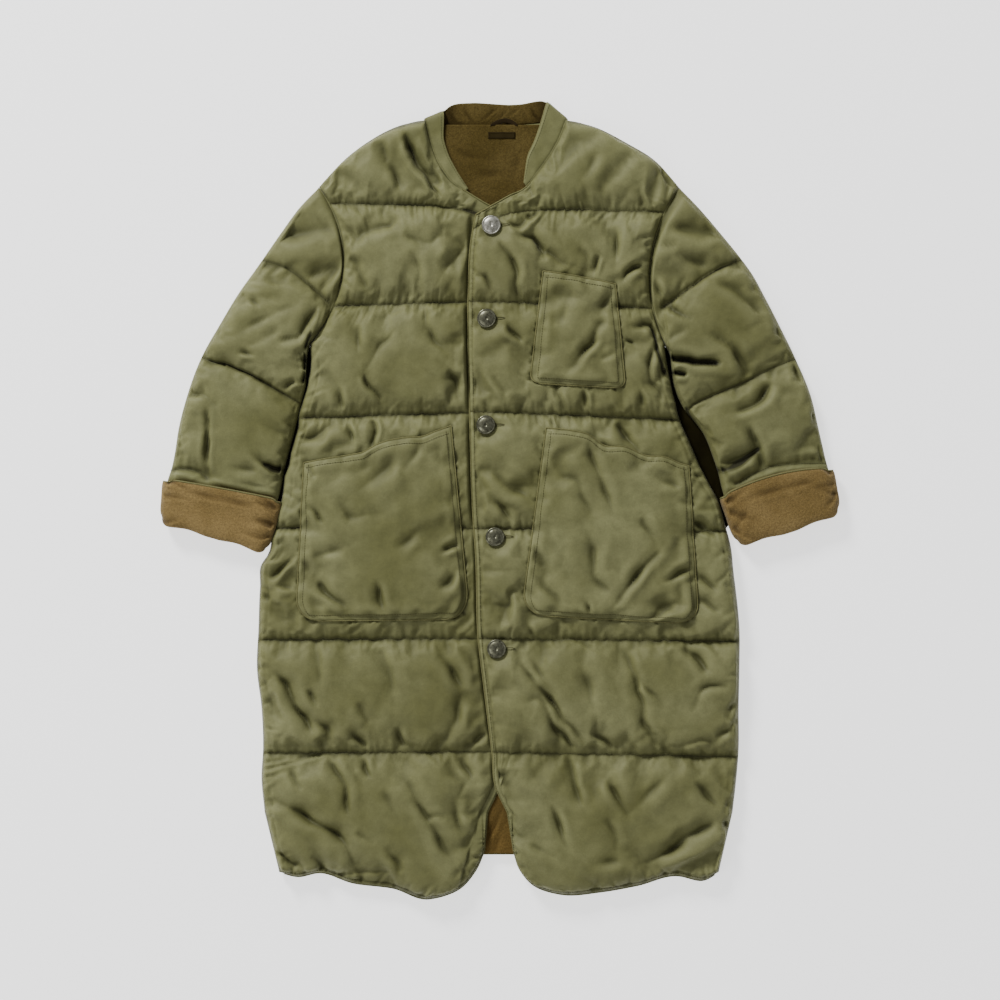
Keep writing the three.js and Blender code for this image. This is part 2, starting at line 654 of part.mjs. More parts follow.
// A point of a sleeve section in plan. The bow is held to the armhole's own corners.
function sleevePlan(section, shares, t) {
  const at = (share) => {
    const bow = 4 * share * (1 - share);
    return between(section.outer, section.inner, share).map((value, k) => value + section.bow[k] * bow);
  };
  const upper = Math.max(shares.findIndex((share) => share >= t), 1);
  const low = shares[upper - 1];
  return between(at(low), at(shares[upper]), (t - low) / (shares[upper] - low));
}

// The first and last places across a sleeve, just inside its two edges.
const EDGE_SHARE = 0.035;

function sleeveRing(side, section, folds) {
  const shares = armholeShares(side);
  const across = [0, EDGE_SHARE, ...shares.slice(1, -1), 1 - EDGE_SHARE, 1];
  const around = [...across.map((t) => [t, 1]), ...across.slice(1, -1).reverse().map((t) => [t, -1])];
  const width = Math.hypot(section.outer[0] - section.inner[0], section.outer[1] - section.inner[1]);
  const edgeZ = SLEEVE_EDGE_HEIGHT + section.lift;
  const outer = [];
  const inner = [];
  for (const [t, upper] of around) {
    const fromEdge = Math.min(t, 1 - t) * width;
    const round = Math.sqrt(1 - (1 - clamp(fromEdge / SLEEVE_ROUNDING, 0, 1)) ** 2);
    const [x, y] = sleevePlan(section, shares, t);
    const puff = SLEEVE_CROWN_RISE * section.puff;
    const crown = Math.max(puff - foldDepth(folds, x, y) * section.puff, 0);
    const top = SLEEVE_INSIDE + SLEEVE_WALL + section.lift + crown;
    const share = lerp(SLEEVE_WALL / width, 1 - SLEEVE_WALL / width, t);
    const [inX, inY] = sleevePlan(section, shares, share);
    if (upper > 0) {
      outer.push([x, y, lerp(edgeZ, top, round)]);
      inner.push([inX, inY, lerp(edgeZ, SLEEVE_INSIDE + section.lift, round)]);
    } else {
      outer.push([x, y, lerp(edgeZ, section.lift, round)]);
      inner.push([inX, inY, lerp(edgeZ, section.lift + SLEEVE_WALL, round)]);
    }
  }
  return { outer, inner };
}

const mixRings = (a, b, t) => a.map((point, k) => between(point, b[k], t));

function sleeve(side) {
  const rings = SLEEVES[side].map((section) => sleeveRing(side, section, SLEEVE_FOLDS[side]));
  const away = side === 'right' ? -ARMHOLE_GAP : ARMHOLE_GAP;
  for (const point of [...rings[0].outer, ...rings[0].inner]) point[0] += away;
  const end = rings.pop();
  const top = rings.at(-1);
  rings.push({
    outer: mixRings(top.outer, end.outer, SLEEVE_END_IN_CUFF),
    inner: mixRings(top.inner, end.inner, SLEEVE_END_IN_CUFF),
  });
  const outer = rings.map((ring) => ring.outer);
  const inner = rings.map((ring) => ring.inner);
  return gridSolid(`sleeve_${side}`, outer, inner, cloth(OLIVE), true);
}

// The cuff's section: along runs from its upper edge to the fold, and out is how far it stands off the sleeve.
const CUFF_SECTION = [
  { along: 0, out: 0.4 },
  { along: 0, out: 4.6 },
  { along: 0.07, out: CUFF_BAND },
  { along: 0.5, out: CUFF_BAND },
  { along: 0.93, out: CUFF_BAND },
  { along: 1, out: 3.2 },
  { along: 1, out: -2.4 },
  { along: 0.975, out: CUFF_ROOM - SLEEVE_WALL },
  { along: 0.94, out: CUFF_ROOM - SLEEVE_WALL },
  { along: 0.94, out: 0.4 },
];

function cuff(side) {
  const [top, end] = SLEEVES[side].slice(-2).map((section) => sleeveRing(side, section, []).outer);
  const middle = (ring) => [0, 1, 2].map((k) => ring.reduce((sum, point) => sum + point[k], 0) / ring.length);
  const loops = top.map((point, j) => {
    const count = top.length;
    const before = top[(j + count - 1) % count];
    const after = top[(j + 1) % count];
    const normal = new THREE.Vector3(...after).sub(new THREE.Vector3(...before));
    const axis = new THREE.Vector3(...middle(end)).sub(new THREE.Vector3(...middle(top)));
    normal.cross(axis).normalize();
    const outward = new THREE.Vector3(...point).sub(new THREE.Vector3(...middle(top)));
    if (normal.dot(outward) < 0) normal.negate();
    return CUFF_SECTION.map(({ along, out }) => {
      const base = between(point, end[j], along);
      return [base[0] + normal.x * out, base[1] + normal.y * out, Math.max(base[2] + normal.z * out, 0)];
    });
  });
  return ringSolid(`cuff_${side}`, loops, cloth(BROWN));
}

// The collar is one band: flat on the fronts, folded over at both neck points, and flat again behind the neck.
function collar() {
  const lines = [];
  const flat = (seam, free, z, up) => lines.push({ seam: [...seam, z], free: [...free, z], out: [0, 0, up] });
  const front = (side, order) => {
    for (const { s, free } of order) {
      const gap = side === 'right' ? SEAM_GAP : -SEAM_GAP;
      const seam = [readTable(TOPS[side], 's', 'x', s) + gap, readTable(TOPS[side], 's', 'y', s) + SEAM_GAP];
      flat(seam, free, COLLAR_UPPER, 1);
    }
  };
  const turn = (line, outward, angles) => {
    const radius = (COLLAR_UPPER - COLLAR_LOWER) / 2;
    for (const angle of angles) {
      const reach = Math.sin(angle);
      const rise = Math.cos(angle);
      const shift = [outward[0] * reach * radius, outward[1] * reach * radius];
      const z = COLLAR_LOWER + radius * (1 + rise);
      lines.push({
        seam: [line.seam[0] + shift[0], line.seam[1] + shift[1], z],
        free: [line.free[0] + shift[0], line.free[1] + shift[1], z],
        out: [outward[0] * reach, outward[1] * reach, rise],
      });
    }
  };
  front('right', [...COLLAR_FRONTS.right].reverse());
  const rightFold = { seam: lines.at(-1).seam, free: lines.at(-1).free };
  turn(rightFold, [-0.4, 0.92], [0.25, 0.5, 0.75, 1].map((share) => share * Math.PI));
  for (const { seam, free } of COLLAR_BACK) flat(seam, free, COLLAR_LOWER, -1);
  const leftFold = { seam: [86 - SEAM_GAP, 493 + SEAM_GAP], free: COLLAR_FRONTS.left[0].free };
  turn(leftFold, [0.62, 0.78], [1, 0.75, 0.5, 0.25].map((share) => share * Math.PI));
  front('left', COLLAR_FRONTS.left);
  const across = [0, 0.33, 0.67, 1];
  const offset = (line, t, way) => {
    const edging = t === 0 || t === 1 ? COLLAR_EDGE_SHARE : 1;
    const half = (COLLAR_WALL / 2) * way * edging;
    return between(line.seam, line.free, t).map((value, k) => value + line.out[k] * half);
  };
  const outer = lines.map((line) => across.map((t) => offset(line, t, 1)));
  const inner = lines.map((line) => across.map((t) => offset(line, t, -1)));
  return gridSolid('collar', outer, inner, cloth(OLIVE));
}

// A flat patch of lining between rows of left and right ends.
function liningPatch(name, rows) {
  const across = [0, 0.25, 0.5, 0.75, 1];
  const grid = (z) => rows.map(({ y, right, left }) => across.map((t) => [lerp(right, left, t), y, z]));
  return gridSolid(name, grid(LINING_LIFT + LINING_WALL), grid(LINING_LIFT), cloth(DARK_BROWN));
}

function neckLining() {
  return liningPatch('lining_neck', [
    { y: 335, right: -55, left: 35 },
    { y: 370, right: -75, left: 55 },
    { y: 420, right: -86, left: 70 },
    { y: 455, right: -90, left: 74 },
    { y: 483, right: -72, left: 52 },
  ]);
}

function hemLining() {
  return liningPatch('lining_hem', [
    { y: -461.5, right: -44, left: 38 },
    { y: -430, right: -44, left: 38 },
    { y: -390, right: -36, left: 30 },
    { y: -362, right: -26, left: 18 },
  ]);
}

// A patch pocket follows the highest points of the panel under it, and is puffed between its edges.
function pocket({ name, on, topLeft, topRight, bottomRight, bottomLeft, corner }, panels) {
  const panel = panels[on].outer;
  const height = (topLeft[1] + topRight[1] - bottomLeft[1] - bottomRight[1]) / 2;
  const lowRows = [0, 0.3, 0.7, 1].map((share) => (share * corner) / height);
  const rows = [...lowRows, 0.3, 0.42, 0.54, 0.66, 0.78, 0.9, 0.96, 1];
  const across = [0, 0.04, 0.14, 0.28, 0.43, 0.57, 0.72, 0.86, 0.96, 1];
  const outer = [];
  const inner = [];
  for (const v of rows) {
    const left = between(bottomLeft, topLeft, v);
    const right = between(bottomRight, topRight, v);
    const width = Math.hypot(right[0] - left[0], right[1] - left[1]);
    const above = v * height;
    const inset = above < corner ? corner - Math.sqrt(corner ** 2 - (corner - above) ** 2) : 0;
    const start = between(left, right, (inset * POCKET_CORNER_SHARE) / width);
    const finish = between(left, right, 1 - (inset * POCKET_CORNER_SHARE) / width);
    outer.push([]);
    inner.push([]);
    for (const u of across) {
      const [x, y] = between(start, finish, u);
      const base = highestNear(panel, x, y, POCKET_REACH) + SEAM_GAP;
      const crown = POCKET_PUFF * Math.min(1, 6 * u * (1 - u)) * Math.min(1, 5 * v * (POCKET_MOUTH_V - v));
      outer.at(-1).push([x, y, base + POCKET_WALL + crown]);
      inner.at(-1).push([x, y, base]);
    }
  }
  return gridSolid(name, outer, inner, cloth(OLIVE));
}

// A domed metal button with a dimple, resting on the highest cloth under it.
function button(index, { x, y }, panels) {
  const profile = [
    [0, 0],
    [8.5, 0],
    [BUTTON_RADIUS, 2],
    [BUTTON_RADIUS, 3.1],
    [10.8, 4.6],
    [7, 5.3],
    [3.4, 5],
    [2.4, 4.2],
    [0, 4.2],
  ];
  const geometry = new THREE.LatheGeometry(profile.map(([r, z]) => new THREE.Vector2(r, z)), BUTTON_SIDES);
  geometry.rotateX(Math.PI / 2);
  const metal = new THREE.MeshStandardMaterial({ color: STEEL, roughness: 0.35, metalness: 1 });
  const mesh = new THREE.Mesh(geometry, metal);
  mesh.name = `button_${index + 1}`;
  mesh.position.set(x, y, highestNear(panels.left.outer, x, y, BUTTON_RADIUS) + SEAM_GAP);
  return mesh;
}

// A narrow loop of tape that bows up from the back neck seam.
function hangerLoop() {
  const stations = [
    { x: -16, y: 481, z: 9.1 },
    { x: -12, y: 487, z: 9.1 },
    { x: -3, y: 492, z: 7.5 },
    { x: 7, y: 494, z: 7 },
    { x: 16, y: 491.5, z: 7.5 },
    { x: 21, y: 488, z: 9.1 },
    { x: 24, y: 481, z: 9.1 },
  ];
  const width = 3;
  const wall = 1.2;
  const grid = (z) => stations.map((at) => [-1, 1].map((way) => [at.x, at.y + (way * width) / 2, at.z + z]));
  return gridSolid('hanger_loop', grid(wall), grid(0), cloth(DARK_BROWN));
}

function neckLabel() {
  const size = { x: 35, y: 8.5, z: 0.8 };
  const mesh = new THREE.Mesh(new THREE.BoxGeometry(size.x, size.y, size.z), cloth(DARK_BROWN));
  mesh.name = 'neck_label';
  mesh.position.set(1.5, 473, LINING_LIFT + LINING_WALL + SEAM_GAP + size.z / 2);
  return mesh;
}

function makeCoat() {
  const coat = new THREE.Group();
  const panels = { right: frontGrids('right'), left: frontGrids('left') };
  for (const side of ['right', 'left']) {
    coat.add(gridSolid(`front_${side}`, panels[side].outer, panels[side].inner, cloth(OLIVE)));
    coat.add(sleeve(side));
    coat.add(cuff(side));
  }
  coat.add(backPanel(), collar(), neckLining(), hemLining(), hangerLoop(), neckLabel());
  for (const shape of POCKETS) coat.add(pocket(shape, panels));
  BUTTONS.forEach((place, index) => coat.add(button(index, place, panels)));
  return coat;
}

const garment = makeCoat();

export default garment;
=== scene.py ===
import math

import bmesh
import bpy
import numpy as np
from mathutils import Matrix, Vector
from mathutils.bvhtree import BVHTree


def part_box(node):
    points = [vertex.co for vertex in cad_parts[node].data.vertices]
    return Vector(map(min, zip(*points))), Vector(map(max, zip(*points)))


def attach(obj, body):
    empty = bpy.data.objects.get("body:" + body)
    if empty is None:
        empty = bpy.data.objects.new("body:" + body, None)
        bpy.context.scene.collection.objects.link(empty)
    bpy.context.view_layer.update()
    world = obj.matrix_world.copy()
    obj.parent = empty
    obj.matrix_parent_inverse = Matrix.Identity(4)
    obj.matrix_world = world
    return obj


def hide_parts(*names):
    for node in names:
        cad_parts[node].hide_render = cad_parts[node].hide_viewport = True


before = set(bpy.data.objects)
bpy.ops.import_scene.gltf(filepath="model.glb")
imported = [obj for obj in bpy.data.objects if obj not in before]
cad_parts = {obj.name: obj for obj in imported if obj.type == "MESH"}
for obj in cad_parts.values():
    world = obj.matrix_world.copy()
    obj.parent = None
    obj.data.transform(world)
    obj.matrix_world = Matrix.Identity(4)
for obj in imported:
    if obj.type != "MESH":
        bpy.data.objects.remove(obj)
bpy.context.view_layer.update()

# A quilted work coat laid flat on its back. Lengths are in millimetres until a mesh is made.
MM = 0.001
BODY = "root"
RANDOM = np.random.default_rng(27)

# The photo's frame
PHOTO_PIXEL = 1.3
PHOTO_MIDDLE_X = 500.5
PHOTO_MIDDLE_Y = 499.0
PHOTO_WIDTH = 1000

# Walls and heights
SEAM_GAP = 0.3
BACK_WALL = 7.0
LINING_LIFT = BACK_WALL + SEAM_GAP
LINING_WALL = 1.4
FRONT_INSIDE = 9.2
FRONT_WALL = 4.0
LEAST_WALL = 0.8
CROWN_RISE = 10.0
CROWN_REACH = 9.5
QUILTING_WAVE = 0.6
WAVE_REACH = 14.0
UNDERLAP_TOP = 13.4
OVERLAP_INSIDE = 13.8
OVERLAP_PUFF = 0.65
SIDE_SEAM_HEIGHT = 7.9
SIDE_ROUNDING = 12.0
HEM_RISE_AT_BACK = 22.0
SLEEVE_WALL = 4.5
SLEEVE_INSIDE = 8.2
SLEEVE_CROWN_RISE = 10.0
SLEEVE_EDGE_HEIGHT = 6.5
SLEEVE_ROUNDING = 15.0
SLEEVE_END_IN_CUFF = 0.93
CUFF_CORNER = 11.0
GAP_CLOTH_TUCK = 3.5
COLLAR_WALL = 3.5
COLLAR_UPPER = 12.0
COLLAR_LOWER = 2.2
POCKET_WALL = 2.5
POCKET_PUFF = 4.5
POCKET_SHELF = 14.0
BUTTON_RADIUS = 12.4
ARMPIT_Y = 200.0
SHOULDER_TIP_Y = 406.0
LAP_ROOM = 0.9
RAMP_ROOM = 15.0
LEAST_LAP = 8.0
RAMP_S = 0.75
LAP_S = 0.8

# Settling: how hard the padding puffs up, how much longer the cloth is cut, and how far it may move
PUFFING = 0.35
CLOTH_ROOM = 0.07
MOST_WRINKLE = 6.0
SIDEWAYS_SHARE = 0.6

# Mesh fineness
FRONT_SPACING = 2.3
FRONT_COLUMNS = 152
POCKET_SPACING = 2.4
COARSE_STEP = 4
SLEEVE_ROWS = COARSE_STEP * 50 + 1
SLEEVE_ACROSS = 64
CUFF_FINENESS = 3
FOLD_PATH_STEP = 8.0

# Deep shade in the tucked cloth, and the floor's own light
DEEP_SHADE = (0.013, 0.012, 0.003)
FLOOR_GLOW = 1.3


def table(columns, *rows):
    """A table with named columns."""
    return {name: np.array([row[k] for row in rows], float) for k, name in enumerate(columns.split())}


ARMHOLES = {
    "right": {"tip": -236.0, "armpit": -248.0, "bow": 38.0},
    "left": {"tip": 232.0, "armpit": 214.0, "bow": -28.5},
}
SIDES = table(
    "y right left",
    (-482, -297, 291), (-454, -304, 297), (-407, -307, 302), (-363, -311, 307), (-324, -309, 310),
    (-272, -311, 310), (-220, -317, 311), (-168, -315, 311), (-116, -313, 306), (-86, -310, 302),
    (-70, -298, 300), (-40, -284, 291), (-1, -277, 281), (31, -273, 265), (77, -262, 245),
    (126, -255, 224), (155, -247, 219), (200, -248, 214),
)
# How far the side's cloth swells out to the sleeve that lies against it.
TOWARDS_SLEEVE = table(
    "y right left",
    (-100, 0, 0), (-70, 3, 1), (-48, 11, 3), (-20, 11, 3), (0, 8, 2), (14, 7.5, 1), (30, 8, 1), (44, 5, 0),
    (60, 7, 0), (78, 6, 0), (94, 3.5, 0), (108, 5, 1), (124, 2.5, 4), (140, 2, 3), (156, 3, 2), (170, 1, 1),
    (185, 0, 0),
)
FRONT_EDGES = {
    "left": table(
        "y x",
        (-458, 17), (-419, 14), (-393, 2), (-378, -5), (-329, -11), (-248, -21), (-179, -29),
        (-79, -32), (-1, -37), (113, -40), (259, -42), (337, -38), (369, -32),
    ),
    "right": table(
        "y x",
        (-458, -21), (-419, -21), (-385, -6), (-346, 10), (-313, 15), (-183, 15), (367, 13),
    ),
}
# The fronts' cut edges, from the side (s 0) to the front edge (s 1).
HEMS = {
    "right": table(
        "s x y",
        (0, -288, -485), (0.1, -263, -491), (0.2, -237, -486), (0.4, -188, -500), (0.54, -140, -506),
        (0.7, -92, -520), (0.8, -55, -508), (0.9, -33, -484), (1, -21, -458),
    ),
    "left": table(
        "s x y",
        (0, 284, -485), (0.1, 262, -496), (0.2, 231, -490), (0.4, 176, -503), (0.54, 130, -511),
        (0.7, 78, -514), (0.8, 46, -504), (0.9, 26, -483), (1, 17, -458),
    ),
}
NECK_POINT_S = 0.4
SHOULDERS = {
    "right": table(
        "s x y",
        (0, -236, 406), (0.1, -202, 442), (0.2, -167, 468), (0.3, -133, 485), (0.4, -98, 493),
    ),
    "left": table(
        "s x y",
        (0, 232, 406), (0.1, 201, 440), (0.2, 166, 462), (0.3, 125, 483), (0.4, 86, 493),
    ),
}
NECKLINES = {
    "right": table(
        "s x y",
        (0.4, -98, 493), (0.47, -91, 464), (0.54, -81, 436), (0.62, -64, 412), (0.7, -45, 400),
        (0.8, -29, 390), (1, 13, 366),
    ),
    "left": table(
        "s x y",
        (0.4, 86, 493), (0.47, 76, 467), (0.54, 64, 446), (0.62, 50, 427), (0.7, 34, 406),
        (0.8, 12, 394), (1, -32, 369),
    ),
}
BACK_TOP = table(
    "x y",
    (-236, 406), (-202, 442), (-167, 468), (-133, 485), (-98, 493), (-73, 484.5), (-38, 485),
    (6, 486), (51, 489), (86, 493), (125, 483), (166, 462), (201, 440), (232, 406),
)
# Rails across the body from hem to shoulder, each at its height at the right side, the front edges and the
# left side. Cloth between two rails is spaced evenly, and stitched rails are the quilting lines.
RAILS = table(
    "right middle left drop hem top stitched",
    (-407, -407, -407, 0, 1, 0, 0),
    (-407, -407, -407, 0, 0, 0, 0),
    (-330, -328, -335, 0, 0, 0, 1),
    (-183, -181, -185, 0, 0, 0, 1),
    (-38, -38, -42, 0, 0, 0, 1),
    (105, 114, 103, 0, 0, 0, 1),
    (251, 257, 248, 0, 0, 0, 1),
    (318, 318, 311, 8, 0, 0, 0),
    (384, 380, 373, 30, 0, 0, 1),
    (384, 380, 373, 30, 0, 1, 0),
)
LINE_SPACING = 146
RAIL_SPANS = (88, 78, LINE_SPACING, LINE_SPACING, LINE_SPACING, LINE_SPACING, 66, 66, 84)

# Sleeve sections, from the armhole to the end inside the cuff: the section's outer and inner ends, how far
# its middle bows off the straight line, and how far its underside is lifted.
SLEEVES = {
    "right": table(
        "outer_x outer_y inner_x inner_y bow_x bow_y lift",
        (-236, 406, -248, 200, 38, 0, 0),
        (-261, 380, -251, 197, 38, 7, 0),
        (-286, 346, -252, 192, 37, 14, 0),
        (-311, 310, -253, 188, 36, 19, 0),
        (-344, 263, -252.5, 165, 20, 12, 0),
        (-366, 226, -253, 148, 11, 9, 0),
        (-389, 185, -259, 124, 0, 5, 0),
        (-409, 131, -270, 79, 0, 4, 0),
        (-419, 92, -278, 50, 0, 3, 0),
        (-424, 60, -283, 26, 0, 1, 0),
        (-428, 40, -286, 11, 0, 0, 1.5),
        (-432, 26, -289, 0, 0, 1, 6.3),
        (-437, -33, -308, -70, 0, 2, 6.3),
    ),
    "left": table(
        "outer_x outer_y inner_x inner_y bow_x bow_y lift",
        (232, 406, 214, 200, -28.5, 0, 0),
        (259, 378, 216, 196, -31, 5, 0),
        (288, 344, 218, 192, -30, 12, 0),
        (317, 308, 220, 188, -27, 16, 0),
        (345, 261, 223, 165, -15, 11, 0),
        (365, 222, 226, 146, -8, 8, 0),
        (384, 183, 237, 120, 0, 4, 0),
        (405, 131, 265, 83, 0, 4, 0),
        (414, 92, 276, 56, 0, 5, 0),
        (420, 66, 284, 31, 0, 6, 0),
        (423, 52, 287, 17, 0, 8, 1.5),
        (426, 39, 290, 5, 0, 9, 6.3),
        (437, -20, 312, -60, 0, -2, 6.3),
    ),
}
POCKETS = {
    "pocket_chest": {
        "on": "left", "top_left": (55, 295), "top_right": (149, 278), "bottom_right": (162, 143),
        "bottom_left": (38, 150), "corner": 12.0, "mouth": table("share lift", (0, 0), (0.5, 1.5), (1, 0)),
    },
    "pocket_lower_right": {
        "on": "right", "top_left": (-255, 47), "top_right": (-64, 95), "bottom_right": (-40, -156),
        "bottom_left": (-265, -158), "corner": 30.0,
        "mouth": table(
            "share lift",
            (0, 0), (0.15, -2), (0.33, -5), (0.41, -5.5), (0.47, -1.7), (0.53, 0.7), (0.67, 0), (0.83, -4.5),
            (0.89, -2.5), (1, 0),
        ),
    },
    "pocket_lower_left": {
        "on": "left", "top_left": (59, 90), "top_right": (244, 43), "bottom_right": (257, -162),
        "bottom_left": (27, -150), "corner": 30.0,
        "mouth": table(
            "share lift",
            (0, 2), (0.18, 7), (0.31, 6.5), (0.39, -1), (0.56, 3.4), (0.7, -1), (0.83, 3.4), (0.94, 0),
            (1, 0),
        ),
    },
}
BUTTONS = table("x y", (-12, 355), (-18, 234), (-19, 96), (-7, -49), (-5, -194))
COLLAR_FRONTS = {
    "right": table(
        "s free_x free_y",
        (0.4, -74, 503), (0.47, -75, 468), (0.54, -68, 446), (0.62, -56, 424), (0.7, -42.5, 403),
    ),
    "left": table(
        "s free_x free_y",
        (0.4, 60, 515), (0.47, 52, 487), (0.54, 44, 464), (0.62, 35, 446), (0.7, 30.5, 411),
    ),
}
COLLAR_BACK = table(
    "seam_x seam_y free_x free_y",
    (-86, 491, -67, 512), (-72.5, 485.6, -56, 515), (-38, 486, -31, 516), (6, 487, 10, 513),
    (30, 488.6, 28, 514), (51, 490, 47, 518), (74, 493, 56, 518.5),
)

